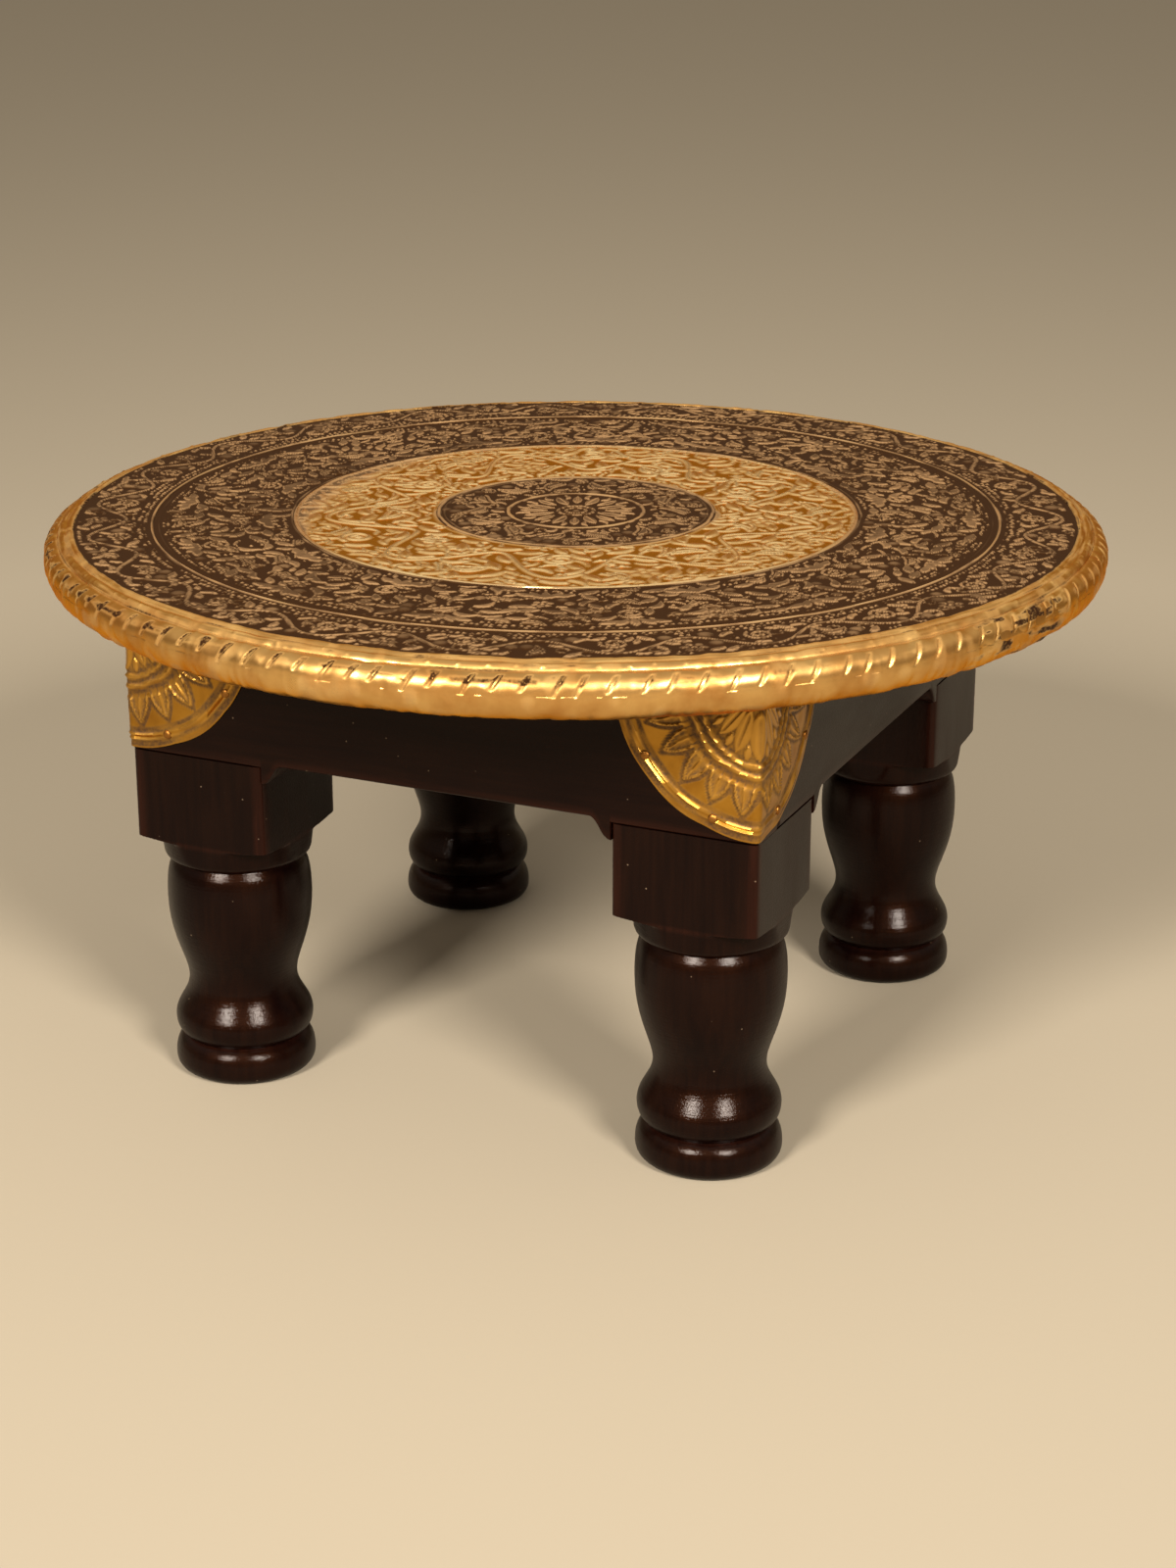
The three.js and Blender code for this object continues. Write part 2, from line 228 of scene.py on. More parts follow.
def bezier(start, *curves, count=16):
    """A line through cubic Bezier curves: each curve is its two handles and its end, and a curve of
    one point is a straight line."""
    points = [np.array([start], dtype=float)]
    for curve in curves:
        here = points[-1][-1]
        t = np.linspace(0, 1, count + 1)[1:, None]
        if len(curve) == 1:
            points.append(here + t * (np.array(curve[0]) - here))
            continue
        b, c, d = (np.array(point, dtype=float) for point in curve)
        points.append((1 - t) ** 3 * here + 3 * (1 - t) ** 2 * t * b + 3 * (1 - t) * t * t * c + t**3 * d)
    return np.vstack(points)


# ---------------------------------------------------------------- embossed figures

# Each figure gives a height from 0 to 1 at points (u, v), with u along its length and 1 its half length.


def leaf(u, v):
    """A lens whose half width is 0.42 (1 - u^2), nearly flat on top."""
    half = 0.42 * np.clip(1 - u * u, 0, 1) + 1e-6
    return np.clip(1 - (v / half) ** 2, 0, 1) ** 0.4 * (np.abs(u) < 1)


def veined_leaf(u, v):
    """A leaf with a groove along its middle."""
    return leaf(u, 1.1 * v) * (1 - 0.6 * ridge(v, 0.1) * smooth(0.85 - np.abs(u), 0, 0.2))


def blade(u, v):
    """A leaf bent along the parabola v = 0.4 u^2, fat at one end and drawn to a point at the other."""
    half = 0.34 * np.sqrt(np.clip(1 - u * u, 0, 1)) * (1 - 0.5 * u) + 1e-6
    return np.clip(1 - ((v - 0.4 * u * u + 0.15) / half) ** 2, 0, 1) ** 0.4 * (np.abs(u) < 1)


def stroke(u, v):
    """A single tool mark: a ridge along the parabola v = 0.35 u^2 that thins toward both ends."""
    return ridge(v - 0.35 * u * u + 0.1, 0.05 + 0.17 * np.clip(1 - u * u, 0, 1)) * (np.abs(u) < 1)


def paisley(u, v):
    """A bent drop: an outline ridge round a half width 0.5 sqrt(1 - u^2) (0.85 - 0.5 u), a smaller drop
    inside it and a hollow between."""
    half = 0.5 * np.sqrt(np.clip(1 - u * u, 0, 1)) * (0.85 - 0.5 * u)
    inside = half - np.abs(v - 0.38 * u * u + 0.1)
    outline = ridge(inside - 0.06, 0.11)
    return np.maximum(outline, 0.85 * smooth(inside, 0.2, 0.34))


def curl(u, v):
    """A spiral stroke: its radius grows from 0.16 to 0.94 over one and three quarter turns."""
    radius = np.hypot(u, v)
    angle = np.mod(np.arctan2(v, u), TAU)
    growth = 0.78 / (1.75 * TAU)
    turns = np.stack([angle, angle + TAU])
    away = np.abs(radius - 0.16 - growth * turns)
    away[turns > 1.75 * TAU] = 9
    return np.maximum(ridge(away.min(axis=0), 0.15), ridge(radius, 0.17))


def crook(u, v):
    """Three quarters of a ring, thicker at one end, with a knob at that end."""
    radius = np.hypot(u, v)
    angle = np.mod(np.arctan2(v, u), TAU)
    stroke = ridge(radius - 0.72, 0.14 + 0.1 * angle / TAU) * (angle < 0.75 * TAU)
    return np.maximum(stroke, ridge(np.hypot(u - 0.62, v), 0.26))


def flower(u, v):
    """Six round petals: an edge at radius 0.62 + 0.36 |cos 3a|, grooves between, and a button inside."""
    radius = np.hypot(u, v)
    petal = np.abs(np.cos(3 * np.arctan2(v, u)))
    dome = np.clip(1 - (radius / (0.62 + 0.36 * petal)) ** 4, 0, 1) ** 0.75
    cup = dome * (0.35 + 0.65 * petal) * smooth(radius, 0.26, 0.5)
    return np.maximum(cup, ridge(radius, 0.26))


def bead(u, v):
    """A round dot: a dome over the unit circle."""
    return np.clip(1 - u * u - v * v, 0, 1) ** 0.75


class Relief:
    """The worked surface of a ring of sheet: heights from 0 to 1 on a grid of radius and angle, in
    which later figures never lower earlier ones."""

    def __init__(self, inner, outer, rows, columns, seed):
        self.radius = np.linspace(inner, outer, rows)
        self.angle = np.arange(columns) * TAU / columns
        self.height = np.zeros((rows, columns))
        self.random = np.random.default_rng(seed)
        self.seed = seed

    def grid(self):
        """Radius and angle at every point of the grid."""
        return np.meshgrid(self.radius, self.angle, indexing="ij")

    def places(self):
        """Flat (x, y, 0) places of the grid's points, for noise."""
        radius, angle = self.grid()
        return np.stack([radius * np.cos(angle), radius * np.sin(angle), 0 * radius], axis=-1)

    def raise_to(self, height):
        """Lifts the surface to a height wherever that is higher."""
        np.maximum(self.height, height, out=self.height)

    def window(self, angle, radius, reach):
        """The rows and columns within a reach of a place, and their offsets along and out from it."""
        rows = np.flatnonzero(np.abs(self.radius - radius) < reach)
        step = TAU / len(self.angle)
        half = min(reach / max(radius, 1), math.pi)
        columns = np.arange(math.ceil((angle - half) / step), math.floor((angle + half) / step) + 1)
        out = self.radius[rows][:, None] - radius
        turn = columns[None, :] * step - angle
        along = np.sin(turn) * self.radius[rows][:, None]
        return np.ix_(rows, columns % len(self.angle)), along, out

    def stamp(self, figure, angle, radius, size, turn=0.0, flip=1, height=1.0):
        """Raises one figure, turned about its place and as long as twice its size."""
        if size <= 0 or not self.radius[0] <= radius <= self.radius[-1]:
            return
        cells, along, out = self.window(angle, radius, 1.15 * size)
        u = (along * math.cos(turn) + out * math.sin(turn)) / size
        v = flip * (out * math.cos(turn) - along * math.sin(turn)) / size
        self.height[cells] = np.maximum(self.height[cells], height * figure(u, v))

    def line(self, radius, half_width=0.7, height=1.0, sway=0.18):
        """A raised ring that sways a little, as a chased line does."""
        out, angle = self.grid()
        path = radius + sway * np.sin(7 * angle + self.seed) + 0.5 * sway * np.sin(19 * angle)
        self.raise_to(height * ridge(out - path, half_width))

    def vine(self, middle, swing, waves, half_width=0.8, phase=0.0):
        """A stem that swings in and out as a sine: ridge height by the distance to it, which is the
        radial distance over the root of 1 plus its slope squared."""
        out, angle = self.grid()
        wave = waves * angle + phase
        slope = swing * waves * np.cos(wave) / middle
        away = (out - middle - swing * np.sin(wave)) / np.sqrt(1 + slope**2)
        self.raise_to(0.9 * ridge(away, half_width))

    def shoulders(self):
        """How steep the work is, as a slope per millimetre between neighbouring rows and columns."""
        out, _ = self.grid()
        outward = np.gradient(self.height, self.radius, axis=0)
        ahead, behind = (np.roll(self.height, shift, axis=1) for shift in (-1, 1))
        sideways = (ahead - behind) / (2 * TAU / len(self.angle) * out)
        return np.hypot(outward, sideways)

    def grown(self, cells):
        """The surface spread sideways by a number of grid cells, to keep other work clear of it."""
        spread = self.height
        for shift in range(1, cells + 1):
            for axis in (0, 1):
                both = np.maximum(np.roll(spread, shift, axis), np.roll(spread, -shift, axis))
                spread = np.maximum(spread, both)
        return spread

    def stipple(self, low, high, pitch, share, dot=0.74):
        """Rows of punched dots on the bare ground between two radii: each row is a circle divided by
        the pitch, each dot is moved a little, and a share of them is left out in patches."""
        out, angle = self.grid()
        row = np.floor((out - low) / pitch)
        middle = low + (row + 0.5) * pitch
        around = np.maximum(np.round(TAU * middle / pitch), 1)
        count = angle / TAU * around + 0.5 * (row % 2)
        index = np.floor(count)
        cells = np.stack([row, index], axis=-1).astype(np.int64)
        shift = (np.stack([scatter(cells, self.seed + k) for k in (1, 2)]) - 0.5) * 0.35 * pitch
        along = (count - index - 0.5) * TAU * middle / around - shift[0]
        across = out - middle - shift[1]
        turn = index / around * TAU
        place = np.stack([middle * np.cos(turn), middle * np.sin(turn)], axis=-1)
        kept = cloud(place, 16.0, self.seed + 5) < 2 * share - 1
        inside = (out > low) & (out < high) & kept & (self.grown(2) < 0.08)
        self.raise_to(0.9 * bead(along / dot, across / dot) * inside)

    def fill(self, low, high, pitch, sizes, figures, drift=0.5):
        """Fills what is still bare with small figures: places on staggered circles, each moved a
        little, and used only where no earlier figure is near."""
        for index, radius in enumerate(np.arange(low, high, pitch * 0.8)):
            count = int(TAU * radius / pitch)
            for k in range(count):
                angle = (k + 0.5 * (index % 2) + self.random.uniform(-0.3, 0.3)) * TAU / count
                place = radius + self.random.uniform(-0.25, 0.25) * pitch
                size = self.random.uniform(*sizes)
                turn = self.random.normal(0.25 * math.pi * self.random.choice([-1, 0, 1]), drift)
                flip = self.random.choice([-1, 1])
                figure = figures[self.random.integers(len(figures))]
                cells, _, _ = self.window(angle, place, 0.62 * size)
                if self.height[cells].size and np.mean(self.height[cells] > 0.3) < 0.06:
                    strength = self.random.uniform(0.75, 1)
                    self.stamp(figure, angle, place, size, turn, flip, strength)


def medallion():
    """The middle of the sheet: an eye, a rosette of petals inside one line, and foliage inside two."""
    work = Relief(0.5, MEDALLION_RADIUS, 104, 620, seed=3)
    out, _ = work.grid()
    work.raise_to(0.9 * ridge(out, 1.9))
    work.line(3.6, 0.7)
    work.line(6.4, 0.75)
    petals = 16
    for k in range(petals):
        angle = k * TAU / petals
        work.stamp(veined_leaf, angle, 14.2 + 1.2 * (k % 2), 5.6 - 0.8 * (k % 2), math.pi / 2)
        work.stamp(blade, angle + 0.5 * TAU / petals, 19.4, 2.6, math.pi / 2, 1 - 2 * (k % 2))
    work.line(CHASED_RINGS[0], 0.85)
    groups = 14
    for k in range(groups):
        angle = k * TAU / groups
        side = 1 - 2 * (k % 2)
        work.stamp(paisley, angle, 36.5, 6.4, side * 0.9, side)
        work.stamp(curl, angle + 0.36 * TAU / groups, 43.4, 3.2, 0.4 * side, side)
        work.stamp(crook, angle + 0.5 * TAU / groups, 30.4, 2.7, 1.2 * side, side)
    work.fill(28.5, 47.0, 4.4, (2.0, 3.2), (leaf, leaf, blade, bead))
    work.line(47.6, 0.55, 0.8)
    work.line(CHASED_RINGS[1], 0.8)
    work.stipple(26.0, 47.0, 2.0, 0.35)
    return work


def bright_band():
    """The bright middle band: a swinging vine with flowers and paisleys in its bays, and loose leaves."""
    work = Relief(MEDALLION_RADIUS, BRIGHT_RADIUS, 106, 920, seed=11)
    work.line(MEDALLION_RADIUS + 0.6, 0.6, 0.5)
    middle = (MEDALLION_RADIUS + BRIGHT_RADIUS) / 2
    waves = 9
    step = TAU / (2 * waves)
    work.vine(middle, 13.5, waves, 0.75)
    for k in range(2 * waves):
        angle = (k + 0.5) * step
        side = 1 - 2 * (k % 2)
        bay = middle - side * 9.0
        work.stamp((flower, paisley, curl)[k % 3], angle, bay, 6.4, 0.5 * side, side)
        work.stamp(paisley, angle - 0.33 * step, bay - side * 2.0, 5.6, 2.4 * side, side)
        work.stamp(leaf, angle + 0.30 * step, bay - side * 4.0, 5.2, 0.9 * side)
        work.stamp(leaf, angle, middle + side * 18.4, 5.4, 0.25 * side)
        work.stamp(leaf, angle + 0.2 * step, middle + side * 6.0, 4.8, -0.8 * side, side)
    large = (leaf, leaf, blade, stroke)
    small = (leaf, stroke, stroke, crook)
    work.fill(MEDALLION_RADIUS + 4, BRIGHT_RADIUS - 4, 6.2, (3.6, 5.2), large, 0.35)
    work.fill(MEDALLION_RADIUS + 3, BRIGHT_RADIUS - 3, 4.6, (2.2, 3.4), small)
    work.stipple(MEDALLION_RADIUS + 1.8, MEDALLION_RADIUS + 9, 2.3, 0.42)
    work.stipple(BRIGHT_RADIUS - 12, BRIGHT_RADIUS - 1.4, 2.3, 0.8)
    work.line(BRIGHT_RADIUS - 0.8, 0.7)
    return work


def dark_band():
    """The dark field: paisleys, flowers and leaf sprays in two swinging rows, loose leaves between, and
    dotted grounds along both edges."""
    work = Relief(BRIGHT_RADIUS, FIELD_RADIUS, 129, 1480, seed=23)
    middle = (BRIGHT_RADIUS + FIELD_RADIUS) / 2
    work.line(BRIGHT_RADIUS + 0.8, 0.6, 0.7)
    bays = 28
    step = TAU / bays
    for k in range(bays):
        angle = (k + 0.5) * step
        side = 1 - 2 * (k % 2)
        bay = middle - side * 6.0
        work.stamp((paisley, flower, curl)[k % 3], angle, bay, (5.6, 4.2, 5.2)[k % 3], 0.7 * side, side)
        for j in range(5):
            spread = (j - 2) * 0.62
            work.stamp(leaf, angle + 0.2 * spread * step, bay - side * 9.5, 4.2, math.pi / 2 + side * spread)
        work.stamp(blade, angle + 0.36 * step, middle + side * 2.0, 4.4, 0.9 * side, side)
        work.stamp(leaf, angle - 0.36 * step, middle + side * 3.0, 4.2, -0.9 * side)
        work.stamp(paisley, angle, middle + side * 16.0, 4.6, 0.3 * side, side)
    large = (leaf, leaf, blade, paisley, stroke)
    small = (leaf, stroke, bead, stroke)
    work.fill(BRIGHT_RADIUS + 5, FIELD_RADIUS - 5, 7.4, (3.6, 5.0), large, 0.4)
    work.fill(BRIGHT_RADIUS + 5, FIELD_RADIUS - 5, 5.6, (2.0, 3.0), small)
    work.line(FIELD_RADIUS - 1.9, 0.4, 0.45)
    work.stipple(BRIGHT_RADIUS + 2.2, BRIGHT_RADIUS + 13, 2.3, 0.72)
    work.stipple(FIELD_RADIUS - 9, FIELD_RADIUS - 2.4, 2.3, 0.95)
    work.stipple(BRIGHT_RADIUS + 13, FIELD_RADIUS - 9, 2.3, 0.38)
    return work


def border():
    """The border: a running scroll with a curl or flower in each bay, over a ground of dotted rows."""
    work = Relief(FIELD_RADIUS, SHEET_RADIUS, 54, 1760, seed=37)
    middle = 168.0
    waves = 22
    step = TAU / (2 * waves)
    work.line(CHASED_RINGS[2], 0.62)
    work.vine(middle, 6.6, waves, 0.85)
    for k in range(2 * waves):
        angle = (k + 0.5) * step
        side = 1 - 2 * (k % 2)
        bay = middle - side * 3.6
        work.stamp((curl, flower, curl, paisley)[k % 4], angle, bay, 5.0, 0.6 + 0.3 * k, side)
        work.stamp(leaf, angle + 0.45 * step, middle - side * 8.0, 3.6, 0.7 * side)
        work.stamp(blade, angle - 0.42 * step, middle - side * 7.4, 3.2, -0.5, side)
    work.fill(FIELD_RADIUS + 9, SHEET_RADIUS - 3, 4.6, (2.2, 3.4), (leaf, leaf, blade, bead, crook))
    work.stipple(FIELD_RADIUS + 1.6, FIELD_RADIUS + 11, 2.3, 0.97)
    work.stipple(FIELD_RADIUS + 11, SHEET_RADIUS - 1.5, 2.3, 0.5)
    return work


# ---------------------------------------------------------------- sizes and colours


def linear(hex_colour):
    """The linear colour of an sRGB hex value: ((c + 0.055) / 1.055)^2.4, or c / 12.92 where dark."""
    parts = np.array([int(hex_colour[k : k + 2], 16) for k in (1, 3, 5)]) / 255
    return tuple(np.where(parts > 0.04045, ((parts + 0.055) / 1.055) ** 2.4, parts / 12.92).tolist())


def swatch(name, description, hex_colour):
    """A colour the user may change."""
    return FloatVectorProperty(
        name=name, description=description, subtype="COLOR", size=3, min=0, max=1, default=linear(hex_colour)
    )


def length(name, description, millimetres, most):
    """A length the user may change, from nothing to a given most, in millimetres."""
    return FloatProperty(
        name=name, description=description, unit="LENGTH", default=millimetres * MM, min=0, max=most * MM
    )


class TableSizes(PropertyGroup):
    """Sizes of the hand work on the brass and of the finish on the wood"""

    relief: length("Top relief", "Height of the embossed work on the top", 0.6, 0.6)
    plate_relief: length("Plate relief", "Height of the embossed work on the corner plates", 0.85, 1.0)
    cut_depth: length("Cut depth", "Depth of the slanting cuts in the rim", 0.55, 0.8)
    cut_count: IntProperty(
        name="Cuts", description="Slanting cuts round the rim", default=128, min=12, max=200
    )
    cut_slant: FloatProperty(
        name="Slant", description="Lean of the cuts from upright", subtype="ANGLE", default=math.radians(28)
    )


class TableColours(PropertyGroup):
    """Colours of the table's metals, paint and wood"""

    top_brass: swatch("Top brass", "Polished raised work of the bare brass", "#ffe6ac")
    top_brass_deep: swatch("Top brass, deep", "Second tone of the bare brass", "#eec488")
    dull_brass: swatch("Dull brass", "Ground of the bare brass, which no polish reaches", "#deb474")
    rubbed_brass: swatch("Rubbed brass", "Raised work where the paint is rubbed away", "#d2a878")
    top_paint: swatch("Top paint", "Dark paint in the ground of the pattern", "#2b1808")
    rim_brass: swatch("Rim brass", "Strip round the edge", "#dfb36e")
    rim_brass_deep: swatch("Rim brass, deep", "Second tone of the strip", "#c08c4c")
    # the residue colour, also used for the painted shade in the cuts on the left of the rim
    rim_stain_and_shade: swatch("Rim stain", "Residue in the rim's cuts and seam", "#24140a")
    plate_brass: swatch("Plate brass", "Corner plates", "#b4822f")
    plate_brass_deep: swatch("Plate brass, deep", "Duller tone of the corner plates", "#8a5a1c")
    plate_brass_lit: swatch("Plate brass, raised", "Raised work of the corner plates", "#cc9a48")
    plate_dirt: swatch("Plate dirt", "Dried polish in the hollows of the plates", "#2f1908")
    nail_brass: swatch("Nail brass", "Nail heads", "#96662e")
    nail_brass_deep: swatch("Nail brass, deep", "Browned spots of the nail heads", "#7a4a1c")
    wax_glint: swatch("Wax glint", "Tint of the shine of paint and wax on the brass", "#ffb868")
    lacquer: swatch("Lacquered wood", "Stained and lacquered legs and frame", "#060202")
    lacquer_grain: swatch("Lighter grain", "Paler grain under the lacquer", "#0f0503")
    lacquer_edge: swatch("Worn edges", "Stain rubbed thin along edges", "#1e0b06")
    stain_glint: swatch("Stain glint", "Tint of the shine of the stained wood", "#ff9a5c")
    dust: swatch("Dust", "Specks caught in the lacquer", "#8f7a63")
    raw_wood: swatch("Raw wood", "Sawn board under the brass", "#6b452a")
    raw_grain: swatch("Raw grain", "Dark grain of the sawn board", "#3c2415")
    steel: swatch("Steel", "Hidden nails and screws", "#b9b7b2")
    steel_deep: swatch("Steel, deep", "Second tone of the steel", "#8d8b86")
    floor: swatch("Floor", "Studio floor", "#9c9280")
    walls: swatch("Walls", "Room at the horizon", "#a48a66")
    ceiling: swatch("Ceiling", "Room overhead", "#fff6e8")
    lamp: swatch("Lamps", "Light of the soft boxes", "#fff6ea")


# ---------------------------------------------------------------- finishes


def add(tree, kind, inputs=None, **settings):
    """Adds a node, sets it up, and gives each named input a value or a link from another node."""
    node = tree.nodes.new(kind)
    for key, value in settings.items():
        setattr(node, key, value)
    for key, value in (inputs or {}).items():
        if isinstance(value, bpy.types.NodeSocket):
            tree.links.new(value, node.inputs[key])
        else:
            node.inputs[key].default_value = value
    return node


def place_on(tree):
    """The place on the object, in metres."""
    return add(tree, "ShaderNodeTexCoord").outputs["Object"]


def carried(tree, name, output="Fac"):
    """A value that the mesh carries at its points."""
    return add(tree, "ShaderNodeAttribute", attribute_name=name).outputs[output]


def noise(tree, where, size, detail, **more):
    """Noise from 0 to 1 with lumps about a size across, in the units of the place it is taken at."""
    inputs = {"Vector": where, "Scale": 1 / size, "Detail": detail, **more}
    return add(tree, "ShaderNodeTexNoise", inputs).outputs["Fac"]


def drawn_out(tree, where, *sizes):
    """Places divided by a size along each axis, so that a pattern of size 1 is drawn out by them."""
    scale = tuple(1 / size for size in sizes)
    return add(tree, "ShaderNodeMapping", {"Vector": where, "Scale": scale}).outputs[0]


def remap(tree, value, low, high, to_low=0.0, to_high=1.0):
    """A value stretched from one span to another, and held at its ends."""
    inputs = {"Value": value, 1: low, 2: high, 3: to_low, 4: to_high}
    return add(tree, "ShaderNodeMapRange", inputs).outputs[0]


def reckon(tree, operation, *values, clamp=False):
    """One step of arithmetic on values, held between 0 and 1 if asked."""
    inputs = dict(enumerate(values))
    return add(tree, "ShaderNodeMath", inputs, operation=operation, use_clamp=clamp).outputs[0]


def blend(tree, share, first, second):
    """A colour some share of the way from a first to a second."""
    return add(tree, "ShaderNodeMixRGB", {"Fac": share, "Color1": first, "Color2": second}).outputs[0]


def bumps(tree, height, strength, depth):
    """The surface's normal, tilted by small bumps of a depth in metres."""
    inputs = {"Height": height, "Strength": strength, "Distance": depth}
    return add(tree, "ShaderNodeBump", inputs).outputs["Normal"]


def made_of(recipe):
    """The material that a recipe makes, made once and given the recipe's name."""
    found = bpy.data.materials.get(recipe.__name__)
    if found:
        return found
    made = bpy.data.materials.new(recipe.__name__)
    made.use_nodes = True
    made.node_tree.nodes.clear()
    shader = add(made.node_tree, "ShaderNodeBsdfPrincipled", recipe(made.node_tree))
    add(made.node_tree, "ShaderNodeOutputMaterial", {"Surface": shader.outputs["BSDF"]})
    return made


def chosen(name):
    """A colour from the panel, as a shader takes it."""
    return (*getattr(bpy.context.scene.table_colours, name), 1)


# Each finish below gives the inputs of its material's shader.


def embossed_painted_brass(tree):
    # Brass sheet chased by hand, painted near black and rubbed back with grit. The ground is dark and
    # half dull, the raised work a pinkish tan with glints, and the bare band a worn gold with brown
    # left round each figure.
    place = place_on(tree)
    patina, rub, cavity = (carried(tree, name) for name in ("patina", "rub", "cavity"))
    mottle = noise(tree, place, 1.8 * MM, 4, Roughness=0.65)
    worn = reckon(tree, "MULTIPLY", rub, remap(tree, mottle, 0.3, 0.7, 0.68, 1.0))
    paint = reckon(tree, "MULTIPLY", patina, reckon(tree, "MULTIPLY_ADD", worn, -0.94, 1.0))
    lodged = reckon(tree, "MULTIPLY", cavity, remap(tree, mottle, 0.25, 0.75, 0.375, 0.15))
    cover = reckon(tree, "MAXIMUM", paint, lodged, clamp=True)
    gold = blend(tree, noise(tree, place, 26 * MM, 3), chosen("top_brass"), chosen("top_brass_deep"))
    ground = blend(tree, rub, chosen("dull_brass"), gold)
    metal = blend(tree, patina, ground, chosen("rubbed_brass"))
    return {
        "Base Color": blend(tree, cover, metal, chosen("top_paint")),
        "Metallic": reckon(tree, "SUBTRACT", 1.0, cover),
        "Roughness": remap(tree, cover, 0, 1, 0.22, 0.46),
        "Specular IOR Level": 0.04,
        "Specular Tint": chosen("wax_glint"),
        "Normal": bumps(tree, noise(tree, place, 0.5 * MM, 2), 0.5, 0.05 * MM),
    }


def hammered_rim_brass(tree):
    # Brass strip cut, bent over the edge and planished with a small hammer, then wiped with dark wax.
    # It is the brightest metal here, with soft facets, brown in the cuts and dull patches by the seam.
    #     # The brown in the cuts, the blots and the streaks is partly painted shade, heaviest on the left
    #     side.
    place = place_on(tree)
    tone = noise(tree, place, 14 * MM, 4)
    fine = noise(tree, place, 1.2 * MM, 4, Roughness=0.6)
    ragged = remap(tree, fine, 0.3, 0.65, 0.75, 1.15)
    # dirt here is real wax and residue plus painted shade on the left side of the rim
    dirt = reckon(tree, "MULTIPLY", carried(tree, "stain_and_shade"), ragged, clamp=True)
    metal = blend(tree, remap(tree, tone, 0.35, 0.68), chosen("rim_brass"), chosen("rim_brass_deep"))
    return {
        "Base Color": blend(tree, dirt, metal, chosen("rim_stain_and_shade")),
        "Metallic": reckon(tree, "SUBTRACT", 1.0, dirt),
        "Roughness": reckon(tree, "MULTIPLY_ADD", dirt, 0.25, remap(tree, tone, 0.3, 0.7, 0.27, 0.4)),
        "Specular IOR Level": 0.1,
        "Specular Tint": chosen("wax_glint"),
        "Normal": bumps(tree, fine, 0.45, 0.06 * MM),
    }


def sheet_plate_brass(tree):
    # Thin brass sheet pressed from behind with punches and left to dull: yellow on the raised rays and
    # rings, brown where polish has dried in the hollows.
    place = place_on(tree)
    relief, cavity = (carried(tree, name) for name in ("relief", "cavity"))
    fine = noise(tree, place, 0.9 * MM, 4, Roughness=0.6)
    dried = reckon(tree, "MULTIPLY", cavity, remap(tree, fine, 0.3, 0.7, 0.65, 1.1), clamp=True)
    dirt = reckon(tree, "MULTIPLY", dried, 0.9)
    dull = remap(tree, noise(tree, place, 9 * MM, 4), 0.35, 0.7, 0, 0.6)
    metal = blend(tree, dull, chosen("plate_brass"), chosen("plate_brass_deep"))
    lit = blend(tree, relief, metal, chosen("plate_brass_lit"))
    return {
        "Base Color": blend(tree, dirt, lit, chosen("plate_dirt")),
        "Metallic": reckon(tree, "MULTIPLY_ADD", dirt, -0.6, 1.0),
        "Roughness": remap(tree, dirt, 0, 1, 0.34, 0.6),
        "Normal": bumps(tree, fine, 0.5, 0.06 * MM),
    }


def drawn_nail_brass(tree):
    # Drawn brass wire headed in a die: bright domes, browned in spots by handling.
    spots = noise(tree, place_on(tree), 1.1 * MM, 3)
    brown = remap(tree, spots, 0.45, 0.75, 0, 0.7)
    return {
        "Base Color": blend(tree, brown, chosen("nail_brass"), chosen("nail_brass_deep")),
        "Metallic": 1.0,
        "Roughness": remap(tree, spots, 0, 1, 0.32, 0.55),
    }


def lacquered_sheesham(tree):
    # Sheesham turned or planed, stained nearly black and brushed with gloss lacquer. The grain only
    # just shows as a red brown, edges rub through to a warmer red, and the gloss has an orange peel,
    # fine turning lines and a few specks of dust.
    grain = carried(tree, "grain", "Vector")
    edge, turned = (carried(tree, name) for name in ("edge", "turned"))
    figure = noise(tree, drawn_out(tree, grain, 45, 2.6, 2.6), 1.0, 5, Roughness=0.6, Distortion=0.4)
    streak = noise(tree, drawn_out(tree, grain, 60, 22, 22), 1.0, 3)
    show = remap(tree, reckon(tree, "MULTIPLY", figure, streak), 0.16, 0.36)
    wood = blend(tree, show, chosen("lacquer"), chosen("lacquer_grain"))
    patchy = remap(tree, figure, 0.35, 0.65, 0.25, 1.0)
    worn = blend(tree, reckon(tree, "MULTIPLY", edge, patchy, clamp=True), wood, chosen("lacquer_edge"))
    specks = add(tree, "ShaderNodeTexVoronoi", {"Vector": grain, "Scale": 1 / 7}, feature="F1")
    dusty = remap(tree, specks.outputs["Distance"], 0.028, 0.05, 0.35, 0)
    peel = noise(tree, grain, 0.9, 3, Roughness=0.7)
    lines = noise(tree, drawn_out(tree, grain, 0.7, 12, 12), 1.0, 3)
    skin = reckon(tree, "MULTIPLY_ADD", reckon(tree, "MULTIPLY", lines, turned), 0.9, peel)
    normal = bumps(tree, skin, 1.0, 0.08 * MM)
    return {
        "Base Color": blend(tree, dusty, worn, chosen("dust")),
        "Roughness": remap(tree, streak, 0.3, 0.7, 0.3, 0.45),
        "Specular IOR Level": 0.06,
        "Specular Tint": chosen("stain_glint"),
        "Coat Weight": 0.17,
        "Coat Roughness": 0.06,
        "Normal": normal,
        "Coat Normal": normal,
    }


